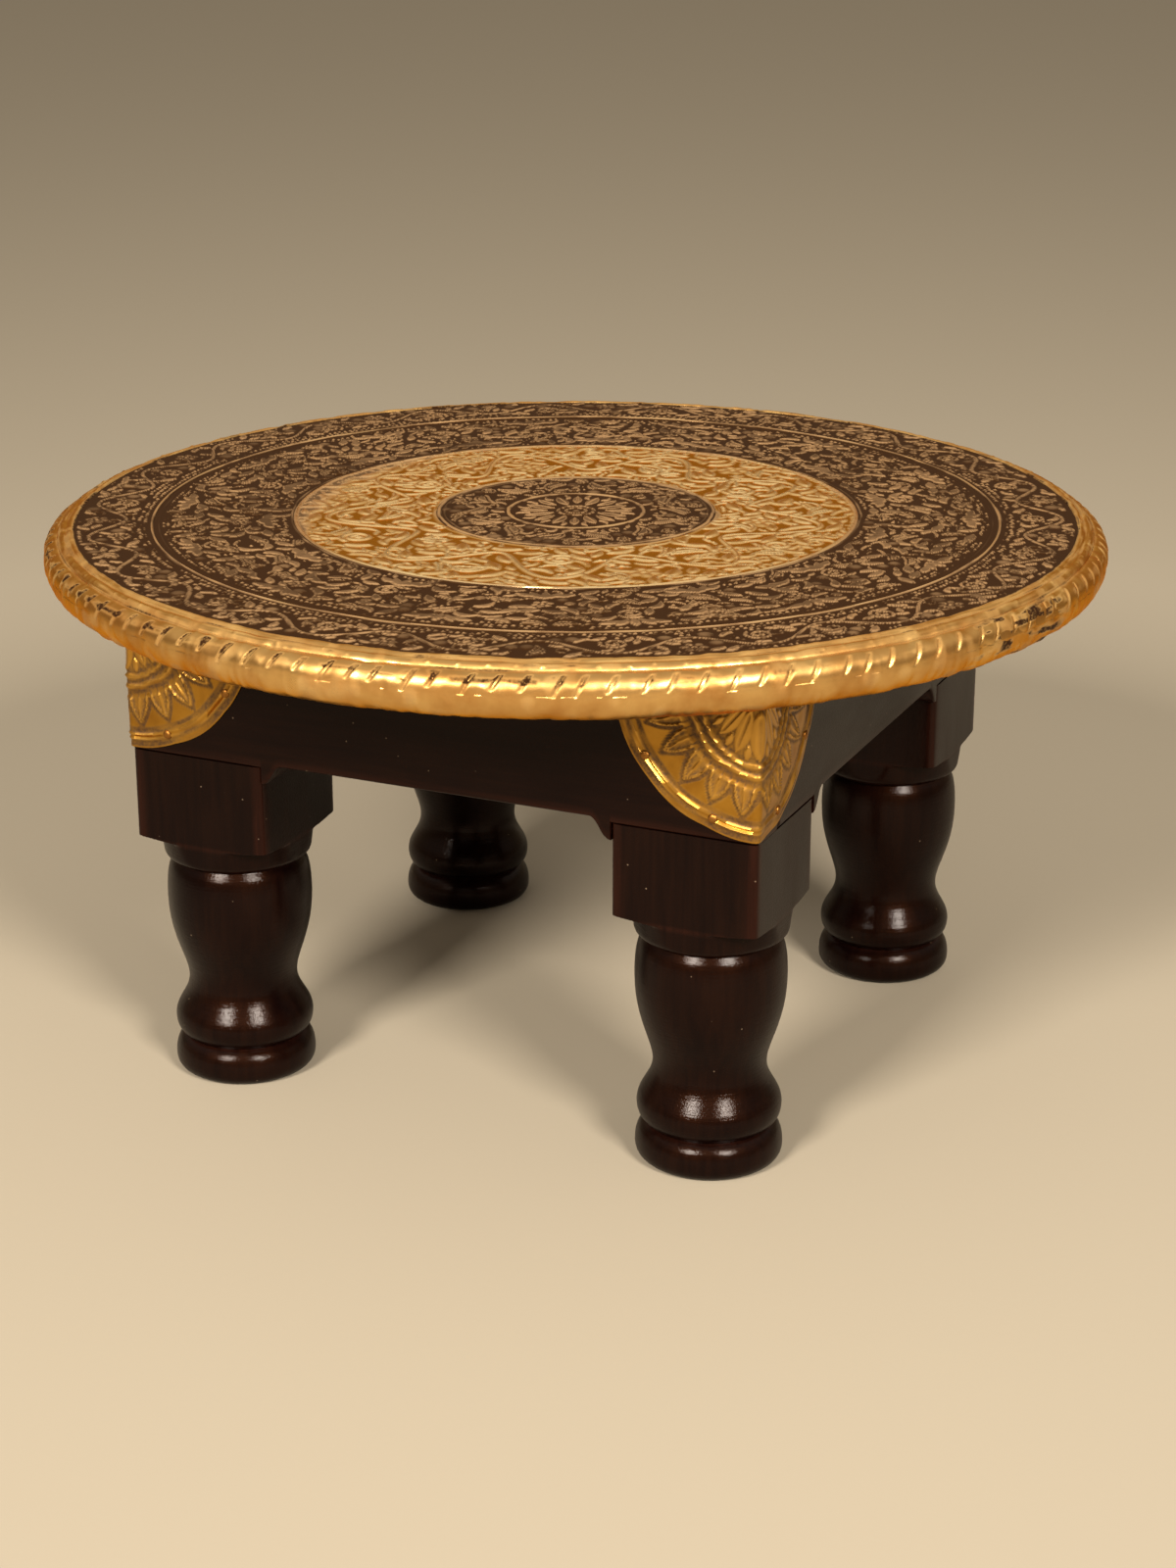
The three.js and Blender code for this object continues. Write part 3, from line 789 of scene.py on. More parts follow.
def sawn_sheesham(tree):
    # Sheesham sawn and left bare: brown with dark streaks, rough, with the saw's lines across it.
    grain = carried(tree, "grain", "Vector")
    figure = noise(tree, drawn_out(tree, grain, 70, 5, 5), 1.0, 6, Roughness=0.65, Distortion=0.6)
    saw_lines = noise(tree, drawn_out(tree, grain, 1.5, 60, 1), 1.0, 2)
    return {
        "Base Color": blend(tree, remap(tree, figure, 0.35, 0.62), chosen("raw_grain"), chosen("raw_wood")),
        "Roughness": 0.78,
        "Normal": bumps(tree, saw_lines, 0.7, 0.15 * MM),
    }


def zinc_plated_steel(tree):
    # Wire nails and wood screws with a thin zinc coat: pale grey, faintly mottled, half bright.
    spangle = noise(tree, place_on(tree), 1.5 * MM, 3)
    return {
        "Base Color": blend(tree, spangle, chosen("steel"), chosen("steel_deep")),
        "Metallic": 1.0,
        "Roughness": remap(tree, spangle, 0, 1, 0.3, 0.48),
    }


def matt_paper(tree):
    # A seamless roll of matt backdrop paper: pale and even, with the faintest tooth.
    tooth = noise(tree, place_on(tree), 3 * MM, 2)
    return {
        "Base Color": chosen("floor"),
        "Roughness": remap(tree, tooth, 0, 1, 0.8, 0.95),
        "Specular IOR Level": 0.2,
    }


# ---------------------------------------------------------------- the top


def unevenness(points):
    """How far hand work leaves sheet off its true surface, in mm: clouds 40 and 15 mm across."""
    return 0.06 * cloud(points, 40.0, 71) + 0.03 * cloud(points, 15.0, 72)


def sheet_ring(name, work, material, coats, first=0, last=None):
    """One ring of the embossed sheet: the worked rows on top, and two plain rows underneath. The height
    is the sheet's, plus its unevenness, plus the relief times the height of the work."""
    rows = slice(first, last)
    out, angle = (part[rows] for part in work.grid())
    flat = work.places()[rows]
    height = work.height[rows]
    settings = bpy.context.scene.table_sizes
    rise = settings.relief / MM * height + unevenness(flat) * smooth(SHEET_RADIUS - out, 0, 6)
    top = round_the_axis(out, SHEET_TOP + rise, angle)
    under = round_the_axis(out[[-1, 0]], np.full((2, 1), SHEET_LOW[2]), angle[[-1, 0]])
    points = np.concatenate([top, under])
    cavity = np.clip(1.4 * (work.grown(1) - work.height), 0, 1)[rows]
    patina, rub = coats(out, angle, flat, height, work.shoulders()[rows])
    if work.radius[0] < 1:
        skin, ends = closed_skin(points), with_ends
    else:
        skin, ends = closed_loop(points), np.ravel
    fields = {
        key: ends(np.vstack([values, values[[-1, 0]]]))
        for key, values in (("patina", patina), ("rub", rub), ("cavity", cavity))
    }
    return piece(name, *skin, material, ["top_sheet"], "embossed_brass", fields, sharp=75)


def dark_coat(out, angle, places, height, steep):
    """Black paint all over, rubbed off the shoulders of the raised work and thinned on its tops, less
    where it lies thick round the bright band, and worn to the metal along the raised rings."""
    thick = smooth(BRIGHT_RADIUS + 11 + 4 * cloud(places, 9.0, 51) - out, 0, 8)
    thick = thick * (out > MEDALLION_RADIUS + 1)
    thick = thick * (0.45 + 0.55 * smooth(np.sin(angle - 0.35) + 0.5 * np.cos(angle) ** 2, -0.2, 0.9))
    worn = smooth(clouds(places, 19.0, 52) + 0.35 * cloud(places, 5.0, 54), -0.55, 0.6)
    bare = smooth(steep, 0.45, 0.9) * smooth(height, 0.25, 0.6)
    tops = (0.08 + 0.2 * worn) * smooth(height, 0.3, 0.9)
    rub = np.maximum(tops, bare * (0.5 + 0.4 * worn)) * (1 - 0.6 * thick)
    rings = sum(ridge(out - ring, 1.0) for ring in CHASED_RINGS) * smooth(height, 0.3, 0.8)
    rub = np.maximum(rub, (0.4 + 0.5 * worn) * rings)
    return 1 - 0.6 * rings * worn * (1 - 0.5 * thick), rub


def bright_coat(out, angle, places, height, steep):
    """Bare brass, polished on its raised work, with paint smeared in from the dark field: widest on the
    left, and ragged by clouds."""
    left = smooth(-np.cos(angle - 0.1), 0.72, 1.0)
    reach = 0.8 + 1.6 * smooth(np.sin(angle), -0.6, 0.6) + 11.0 * left
    ragged = out + reach * 0.5 * clouds(places, 7.0, 61)
    paint = smooth(ragged, BRIGHT_RADIUS - reach, BRIGHT_RADIUS + 0.4 - 0.3 * reach)
    inner = smooth(MEDALLION_RADIUS + 1.6 + 1.4 * cloud(places, 8.0, 62) - out, 0, 1.6)
    rub = np.maximum(smooth(height, 0.25, 0.8), smooth(steep, 0.5, 1.2))
    return np.maximum(0.9 * paint, 0.7 * inner), rub


class TABLE_OT_top_sheet(Operator):
    """Builds the embossed brass sheet on the top, as rings of its pattern"""

    bl_idname = "table.top_sheet"
    bl_label = "Embossed top"

    def execute(self, context):
        metal = made_of(embossed_painted_brass)
        sheet_ring("top_medallion", medallion(), metal, dark_coat)
        sheet_ring("top_bright_band", bright_band(), metal, bright_coat)
        field = dark_band()
        middle = len(field.radius) // 2
        sheet_ring("top_field_inner", field, metal, dark_coat, 0, middle + 1)
        sheet_ring("top_field_outer", field, metal, dark_coat, middle)
        sheet_ring("top_border", border(), metal, dark_coat)
        return {"FINISHED"}


# ---------------------------------------------------------------- the rim

# The strip's outer face as (radius, height): a lip over the sheet, a sloping band and a bead that
# turns under the board
LIP_LINE = bezier(
    (179.2, SHEET_TOP + 0.02),
    ((179.3, 196.5), (180.2, 196.6), (180.7, 196.48)),
    ((181.3, 196.3), (181.8, 195.6), (182.3, 195.5)),
    ((182.6, 195.5), (182.7, 195.75), (183.1, 195.65)),
    ((184.1, 195.3), (184.9, 194.6), (185.3, 193.75)),
)
BEAD_TOP_LINE = bezier(
    LIP_LINE[-1],
    ((185.7, 193.5), (186.0, 193.7), (186.6, 193.4)),
    ((188.6, 192.5), (190.4, 190.6), (RIM_RADIUS, 187.2)),
)
BEAD_UNDER_LINE = bezier(
    BEAD_TOP_LINE[-1],
    ((190.5, 183.8), (188.6, 180.4), (186.0, 178.9)),
    ((184.6, 178.1), (183.6, 177.75), (182.0, STRIP_LOW[2])),
    ((176.2, STRIP_LOW[2]),),
)
BAND_LENGTH = resample(LIP_LINE, 0.5)[1][-1]
BEAD_TOP_LENGTH = resample(BEAD_TOP_LINE, 0.5)[1][-1]
STRIP_GAUGE = 0.42
RIM_COLUMNS = 2200
MOST_PROUD = 0.17  # hammer marks stand out by less than this, and sink as they will
DOT_ROW = 5.2  # along the profile, the middle of the dotted band
DOT_CIRCLE = 184.0
DOT_PITCH = 8.8
SEAM_ANGLE = math.radians(-15)


def carried_round(name, line, start, pitch, material):
    """Carries an open profile round the table and gives it the strip's gauge: the outer face has a row
    every pitch and is dented along its own normal; the inner face is the line moved in, with few rows."""
    outer, along = resample(line, pitch)
    inner = resample(line, 6 * pitch)[0][::-1]
    tangent = np.gradient(outer, axis=0)
    tangent /= np.linalg.norm(tangent, axis=1, keepdims=True)
    normal = np.stack([-tangent[:, 1], tangent[:, 0]], axis=-1)
    back = np.gradient(inner, axis=0)
    back /= np.linalg.norm(back, axis=1, keepdims=True)
    inner = inner + STRIP_GAUGE * np.stack([-back[:, 1], back[:, 0]], axis=-1)
    angle = np.arange(RIM_COLUMNS)[None, :] * TAU / RIM_COLUMNS
    dent, stain_and_shade = worked_rim(along[:, None] + start, angle)
    edge = smooth(np.minimum(along, 0.8)[:, None], -0.4, 0.8) if start == 0 else 1
    radius = outer[:, :1] + normal[:, :1] * dent * edge
    height = outer[:, 1:] + normal[:, 1:] * dent * edge
    face = round_the_axis(radius, height, angle)
    hidden = round_the_axis(inner[:, :1] + 0 * angle, inner[:, 1:] + 0 * angle, angle)
    stain_and_shade = np.vstack([stain_and_shade, np.zeros((len(inner), RIM_COLUMNS))])
    points, faces = closed_loop(np.concatenate([face, hidden]))
    return piece(name, points, faces, material, ["rim_strip"], "rim_brass", {"stain_and_shade": stain_and_shade}, sharp=70)


def hammered(place, low):
    """Broad dents, the facets of hammer blows, which are the creases of clouds, and finer creases that
    are stronger on the lower half. A tanh keeps what stands proud under a limit."""
    dent = 0.2 * cloud(place, 13.0, 81)
    dent = dent + (0.58 + 0.1 * low) * creases(place * [1, 1, 0.8], 7.0, 82)
    dent = dent + (0.15 + 0.3 * low) * creases(place * [1, 1, 0.4], 3.0, 83)
    return np.where(dent > 0, MOST_PROUD * np.tanh(dent / MOST_PROUD), dent)


def punched_dots(along, angle):
    """A row of round dots along the band, each a little out of place, of uneven strength, some missing."""
    count = round(TAU * DOT_CIRCLE / DOT_PITCH)
    index = np.round(angle / TAU * count)
    mark = np.stack([index, 0 * index + 7], axis=-1).astype(np.int64)
    middle = (index + 0.35 * (scatter(mark, 5) - 0.5)) * TAU * DOT_CIRCLE / count
    across = angle * DOT_CIRCLE - middle
    over = along - DOT_ROW - 0.8 * (scatter(mark, 6) - 0.5)
    strength = scatter(mark, 8)
    return 0.36 * strength * (strength > 0.3) * bead(across / 0.85, over / 0.8)


def drawn_streaks(arc, along, length, width, seed):
    """Clouds drawn out along the rim to a length, and only a width across the strip."""
    return clouds(np.stack([arc / length + 0 * along, along / width + 0 * arc], axis=-1), 1.0, seed)


def worked_rim(along, angle):
    """How far the strip stands off its true profile, in mm, and how dark it is, from 0 to 1. It is
    hammered and dotted, and slanting cuts cross the bead, each with a burr on one side and its own
    place, length and stain. The metal crumples near the seam. Wax stays in the cuts and grooves, by
    the seam, under the lip and in streaks, and the cuts are darker in their upper part. The cuts, the
    blots beside them and the streaks are darkest on the left and lighter on the other sides, which is painted
    shade, not wax."""
    arc = angle * RIM_RADIUS
    around = RIM_RADIUS * np.stack([np.cos(angle), np.sin(angle)], axis=-1)
    shape = np.broadcast_shapes(along.shape, angle.shape)
    place = np.concatenate(
        [np.broadcast_to(around, shape + (2,)), np.broadcast_to(along[..., None], shape + (1,))], axis=-1
    )
    settings = bpy.context.scene.table_sizes
    dent = hammered(place, smooth(along, BAND_LENGTH + 6, BAND_LENGTH + 13))

    count = settings.cut_count
    index = np.round(angle / TAU * count)
    mark = np.stack([index, 0 * index], axis=-1).astype(np.int64)
    shift, longer, darker = (scatter(mark, 90 + k) - 0.5 for k in range(3))
    middle = BAND_LENGTH + 5.0 + 1.2 * longer
    half = 3.7 + 1.6 * longer
    slant = math.tan(settings.cut_slant)
    across = (arc - (index + 0.3 * shift) * TAU * RIM_RADIUS / count) + (along - middle) * slant
    fade = smooth(1 - np.abs(along - middle) / half, 0, 0.35)
    cut = ridge(across, 0.85) * fade
    burr = ridge(across - 1.5, 0.7) * fade
    dent = dent - settings.cut_depth / MM * cut + 0.05 * burr + punched_dots(along, angle)

    seam = np.abs(np.angle(np.exp(1j * (angle - SEAM_ANGLE)))) * RIM_RADIUS
    crumple = smooth(33 - seam, 0, 14) * smooth(along, BAND_LENGTH - 2, BAND_LENGTH + 3)
    dent = dent + 0.6 * crumple * (creases(place * [1, 1, 1.6], 6.0, 84) - 0.3)

    # painted shade: the cuts, the blots beside them and the streaks are darkened most on the left side of the
    # rim and kept lighter elsewhere
    painted_shade_on_left = 0.3 + 0.7 * smooth(np.cos(angle - 3.6), -0.35, 0.35)
    upper = smooth(BAND_LENGTH + 8.5 - along, 0, 5)
    in_cut = np.clip(3 * ridge(across, 1.5) * fade, 0, 1) * (0.3 + 0.7 * upper) * (0.95 + 0.4 * darker)
    blots = smooth(cloud(place * [1, 1, 1.5], 4.5, 85) + 0.4 * cloud(place, 30.0, 86), 0.36, 0.6)
    by_cut = ridge(across + 1.6, 3.2) * smooth(1 - np.abs(along - middle + 1.4) / 2.4, 0, 0.4)
    streaks = drawn_streaks(arc, along, 9.0, 2.2, 87)
    comb = ridge(along - BAND_LENGTH - 4.4, 1.7) * smooth(cloud(place, 22.0, 78), -0.4, 0.2)
    stain_and_shade = (in_cut + 0.9 * blots * by_cut + comb * smooth(streaks, -0.05, 0.3)) * painted_shade_on_left
    stain_and_shade = stain_and_shade + crumple * smooth(streaks, -0.05, 0.3)
    brushed = drawn_streaks(arc, along, 16.0, 0.9, 79)
    stain_and_shade = stain_and_shade + 0.55 * smooth(brushed, -0.1, 0.6) * smooth(BAND_LENGTH - along, -1.5, 1)
    groove = ridge(along - BAND_LENGTH, 0.9) + 0.5 * ridge(along - 3.2, 0.9)
    stain_and_shade = stain_and_shade + 0.8 * groove * smooth(cloud(place, 14.0, 88), -0.3, 0.7)
    stain_and_shade = stain_and_shade + 0.6 * smooth(1.7 - along, 0, 1.5) + 0.35 * smooth(cloud(place, 6.0, 89), 0.3, 0.8)
    return dent, np.clip(stain_and_shade, 0, 1)


class TABLE_OT_rim_strip(Operator):
    """Builds the notched brass strip round the edge: a dotted band, and a bead in two lengths"""

    bl_idname = "table.rim_strip"
    bl_label = "Rim strip"

    def execute(self, context):
        metal = made_of(hammered_rim_brass)
        under = BAND_LENGTH + BEAD_TOP_LENGTH
        carried_round("rim_lip_and_band", LIP_LINE, 0, 0.42, metal)
        carried_round("rim_bead_upper", BEAD_TOP_LINE, BAND_LENGTH, 0.36, metal)
        carried_round("rim_bead_lower", BEAD_UNDER_LINE, under, 0.6, metal)
        return {"FINISHED"}


class TABLE_OT_board(Operator):
    """Builds the wooden board under the brass: a disc with a rounded edge, planed underneath"""

    bl_idname = "table.board"
    bl_label = "Top board"

    def execute(self, context):
        low = BOARD_LOW[2]
        high = BOARD_HIGH[2]
        radius = 181.6  # clear of the inside of the brass
        line = bezier(
            (1.0, low),
            ((radius - 3, low),),
            ((radius - 1, low), (radius, low + 1), (radius, low + 3)),
            ((radius, high - 3),),
            ((radius, high - 1.6), (radius - 1, high - 0.9), (radius - 3, high - 0.9)),
            ((1.0, high - 0.9),),
            count=10,
        )
        rows, _ = resample(line, 4.0)
        angle = np.arange(256)[None, :] * TAU / 256
        points, faces = closed_skin(round_the_axis(rows[:, :1] + 0 * angle, rows[:, 1:], angle))
        wood = made_of(sawn_sheesham)
        piece("board", points, faces, wood, ["top_board"], "raw_wood", {"grain": points}, sharp=40)
        return {"FINISHED"}


# ---------------------------------------------------------------- the frame and legs


APRON_STRAIGHT = 126.8  # height of the straight part of the lower edge
APRON_ROUND = 1.0
BRACKET_LENGTH = 8.0
BRACKET_END = LEG_LOW[0] - 0.15


def ogee(x):
    """The lower edge of an apron: straight, then down beside each leg along two joined parabolas."""
    t = np.clip((np.abs(x) - BRACKET_END + BRACKET_LENGTH) / BRACKET_LENGTH, 0, 1)
    drop = np.where(t < 0.5, 2 * t * t, 1 - 2 * (1 - t) ** 2)
    return APRON_STRAIGHT - (APRON_STRAIGHT - APRON_LOW[2]) * drop


def board_section():
    """The outline of a frame board in four rounded corners and two rows of points between them: each
    point's place across the board, its share of the way up, and how far it lies off that height."""
    corner = np.linspace(0, math.pi / 2, 5)
    face = np.linspace(0, 1, 20)[1:-1]
    half = APRON_THICK / 2
    across, share, off = [], [], []
    for turn, (side, high) in enumerate(((1, 0), (1, 1), (-1, 1), (-1, 0))):
        a = corner + (turn - 1) * math.pi / 2
        across.append(side * (half - APRON_ROUND) + APRON_ROUND * np.cos(a))
        share.append(np.full(len(a), float(high)))
        off.append(APRON_ROUND * (np.sin(a) + 1 - 2 * high))
        if turn in (0, 2):
            climb = face if turn == 0 else face[::-1]
            across.append(np.full(len(climb), side * half))
            share.append(climb)
            off.append((1 - 2 * climb) * APRON_ROUND)
    return (np.concatenate(part) for part in (across, share, off))


def apron(name, node, half_length, quarter_turns):
    """One board of the frame: its section carried along its length, with a lower side that follows the
    ogee and then rises over the leg's block, and with a slight sway from a cloud. It is made along X
    with its outer face at +Y and then turned."""
    straight = np.linspace(0, BRACKET_END - BRACKET_LENGTH, 60)[:-1]
    bracket = BRACKET_END - np.linspace(BRACKET_LENGTH, 0, 22)
    inner = np.concatenate([straight, bracket])
    outer = np.linspace(BRACKET_END, half_length, 34)
    x = np.concatenate([inner, outer])
    bottom = np.concatenate([ogee(inner), np.full(len(outer), BLOCK_TOP + 0.15)])
    x = np.concatenate([-x[::-1], x[1:]])[:, None]
    bottom = np.concatenate([bottom[::-1], bottom[1:]])[:, None]
    across, share, off = board_section()
    height = bottom + share * (APRON_HIGH[2] - bottom) + off
    width = across * (1 - 0.08 * (1 - np.minimum(half_length - np.abs(x), 1.0)))
    length = x + 0 * across
    half = APRON_THICK / 2
    sway = 0.10 * cloud(np.stack([length, height, width], axis=-1), 34.0, 17 + quarter_turns)
    out = FRAME_HALF - half + width + sway * (np.abs(across) > half - 0.3)
    cosine = (1, 0, -1, 0)[quarter_turns]
    sine = (0, 1, 0, -1)[quarter_turns]
    turned = np.stack([length * cosine - out * sine, length * sine + out * cosine, height], axis=-1)
    grain = np.stack([length + quarter_turns * 400.0, out, height], axis=-1)  # each board's own timber
    edge = 1 - smooth(height - bottom, 0, 3.2)
    skin, faces = closed_skin(turned)
    fields = {"grain": with_ends(grain), "edge": with_ends(edge)}
    wood = made_of(lacquered_sheesham)
    return piece(name, skin, faces, wood, [node], "lacquered_wood", fields, sharp=50)


class TABLE_OT_aprons(Operator):
    """Builds the four boards of the frame, with an ogee bracket beside each leg"""

    bl_idname = "table.aprons"
    bl_label = "Aprons"

    def execute(self, context):
        side = -span("apron_left")[0][1]
        for quarter, where in enumerate(("back", "left", "front", "right")):
            half_length = side if quarter % 2 else FRAME_HALF
            apron(f"frame_{where}", f"apron_{where}", half_length, quarter)
        return {"FINISHED"}


# The turned half outline of a leg as (radius, height), from the floor to the top of its block
LEG_LINE = bezier(
    (1.0, 0.35),
    ((20.5, 0.0),),
    ((23.8, 0.0), (25.4, 2.2), (25.4, 5.0)),
    ((25.4, 8.4), (24.6, 11.6), (21.9, 13.3)),
    ((21.5, 13.55), (21.5, 13.75), (21.9, 13.95)),
    ((24.0, 14.9), (24.95, 17.4), (24.9, 20.4)),
    ((24.85, 25.2), (19.5, 28.6), (19.5, 35.5)),
    ((19.5, 43.0), (25.9, 51.0), (25.9, 67.0)),
    ((25.9, 73.5), (25.4, 79.0), (23.4, 81.4)),
    ((22.9, 81.8), (23.0, 82.0), (23.4, 82.2)),
    ((25.0, 83.0), (26.2, 83.9), (26.3, 85.2)),
    ((27.1, 91.2),),
    ((27.3, 91.7), (28.5, 91.9), (30.0, 92.1)),
    ((38.0, 93.5),),
    ((38.0, 96.0),),
    ((38.0, BLOCK_TOP - 1.2),),
    ((38.0, BLOCK_TOP - 0.4), (37.4, BLOCK_TOP), (36.6, BLOCK_TOP)),
    ((30.0, BLOCK_TOP),),
    count=12,
)
SQUARENESS = 26  # the power of the rounded square: higher is sharper
LEG_COLUMNS = 160


def leg(name, node, side_x, side_y):
    """A leg as one skin round its axis: its radius is the smaller of the turned outline and a rounded
    square, h / (|cos a|^n + |sin a|^n)^(1/n). Above the block it is the post, a square off the axis,
    whose radius is 1 over the largest of the cosines and sines divided by its walls' distances."""
    half = (LEG_HIGH[0] - LEG_LOW[0]) / 2
    centre = (LEG_HIGH[0] + LEG_LOW[0]) / 2
    t = np.arange(LEG_COLUMNS) * TAU / LEG_COLUMNS
    angle = (t - 0.2 * np.sin(4 * (t - math.pi / 4)))[None, :]
    line, _ = resample(LEG_LINE, 0.9)
    cosine, sine = np.cos(angle), np.sin(angle)
    square = half / (np.abs(cosine) ** SQUARENESS + np.abs(sine) ** SQUARENESS) ** (1 / SQUARENESS)
    radius = np.minimum(line[:, :1] + 0 * angle, square)
    post_out = FRAME_HALF - APRON_THICK - 0.3 - centre
    walls = np.array([side_x * post_out, -side_x * half, side_y * post_out, -side_y * half])
    toward = np.stack([cosine, cosine, sine, sine]) / walls[:, None, None]
    post = 1 / toward.max(axis=0)
    post_heights = np.array([BLOCK_TOP, BLOCK_TOP + 1, 140, 155, 170, LEG_HIGH[2] - 1, LEG_HIGH[2]])
    radius = np.vstack([radius, np.repeat(post, len(post_heights), axis=0), 0.1 * post])
    height = np.concatenate([line[:, 1], post_heights, [LEG_HIGH[2]]])[:, None]
    local = round_the_axis(radius, height + 0 * angle, angle)
    uneven = 1 + 0.0035 * cloud(local, 26.0, 31 + side_x + 2 * side_y) * smooth(90 - local[..., 2], 0, 8)
    local = local * np.stack([uneven, uneven, np.ones_like(uneven)], axis=-1)
    points = local + [side_x * centre, side_y * centre, 0]
    grain = local[..., [2, 0, 1]] + [900.0 * side_x + 350.0 * side_y, 0, 0]  # each leg's own timber
    corner = smooth(radius / (half * math.sqrt(2)), 0.90, 0.96)
    corner = corner * (height > 93) * (height < BLOCK_TOP + 0.5)
    rings = ridge(height - 83.0, 1.6) + ridge(height - 13.6, 1.2) + ridge(height - 91.8, 1.4)
    edge = np.maximum(corner, 0.7 * rings + 0 * angle)
    skin, faces = closed_skin(points)
    turned = (height < 91) + 0 * angle
    fields = {"grain": with_ends(grain), "edge": with_ends(edge), "turned": with_ends(turned)}
    wood = made_of(lacquered_sheesham)
    return piece(name, skin, faces, wood, [node], "lacquered_wood", fields, sharp=50)


class TABLE_OT_legs(Operator):
    """Builds the four legs: turned below, square above, with a post inside the frame's corner"""

    bl_idname = "table.legs"
    bl_label = "Legs"

    def execute(self, context):
        for where, (side_x, side_y) in CORNERS.items():
            leg(f"turned_leg_{where}", f"leg_{where}", side_x, side_y)
        return {"FINISHED"}


# ---------------------------------------------------------------- corner plates and nails

PLATE_TOP = PLATE_HIGH[2]
PLATE_RADIUS = PLATE_TOP - PLATE_LOW[2] + 0.4
PLATE_PROUD = PLATE_HIGH[0] - FRAME_HALF
BEND = 1.3  # radius of the bend over the frame's corner
PLATE_GAUGE = 0.42
PLATE_COLUMNS, PLATE_ROWS = 220, 64


def sunburst(radius, angle):
    """The work on a corner plate, from -0.35 to 1: a fan of leaves on a sunk ground by the corner, two
    raised rings, a row of outlined pointed rays that lean and vary a little with the ground sunk
    between their roots, and a double line near the edge. All of it is drawn down toward the fold, by
    5.2 sin^3 of the angle times a half wave of the radius."""
    height = np.zeros(np.broadcast_shapes(radius.shape, angle.shape))
    radius = radius - 5.2 * np.sin(angle) ** 3 * np.sin(np.clip(radius / 46, 0, 1) * math.pi)
    for ring, width in ((21.0, 0.85), (24.6, 1.0), (47.0, 0.5), (48.8, 0.55)):
        height = np.maximum(height, 0.9 * ridge(radius - ring - 0.25 * np.sin(9 * angle + ring), width))
    rays = 12
    spacing = math.pi / rays
    number = np.floor(angle / spacing)
    lean = 0.5 * np.sin(5.3 * number)
    across = (angle - (number + 0.5) * spacing) * radius - lean * (radius - 31.0) * 0.12
    ray_length = 10.0 + 1.1 * np.sin(3.1 * number)
    t = np.clip((radius - 30.6) / ray_length, 0, 1)
    half = 2.9 * (1 - t) * (1 + 1.1 * t) * (radius > 29.6) * (t < 1)
    rim = ridge(np.abs(across) - half, 0.6) * (half > 0.05)
    spine = ridge(across, 0.6) * (half > 0.8) * 0.8
    height = np.maximum(height, np.maximum(rim, spine))
    height = np.maximum(height, 0.3 * smooth(half - np.abs(across), 0, 1.2))
    height = np.maximum(height, 0.55 * ridge(radius - 29.6, 0.6))
    hollow = smooth(np.abs(across) - half, 0.3, 1.2) * smooth(39.0 - radius, 0, 5) * (radius > 30.2)
    height = height - 0.35 * hollow
    height = height - 0.35 * smooth(19.4 - radius, 0, 1.2)
    fan = 9
    leaf_angle = (np.floor(angle / (math.pi / fan)) + 0.5) * math.pi / fan
    along = (radius - 11.5) / 7.0
    height = np.maximum(height, 0.6 * veined_leaf(along, (angle - leaf_angle) * radius / 6.0))
    between = np.round(angle / (math.pi / fan)) * math.pi / fan
    height = np.maximum(height, 0.7 * leaf((radius - 16.5) / 2.6, (angle - between) * radius / 2.6))
    return height


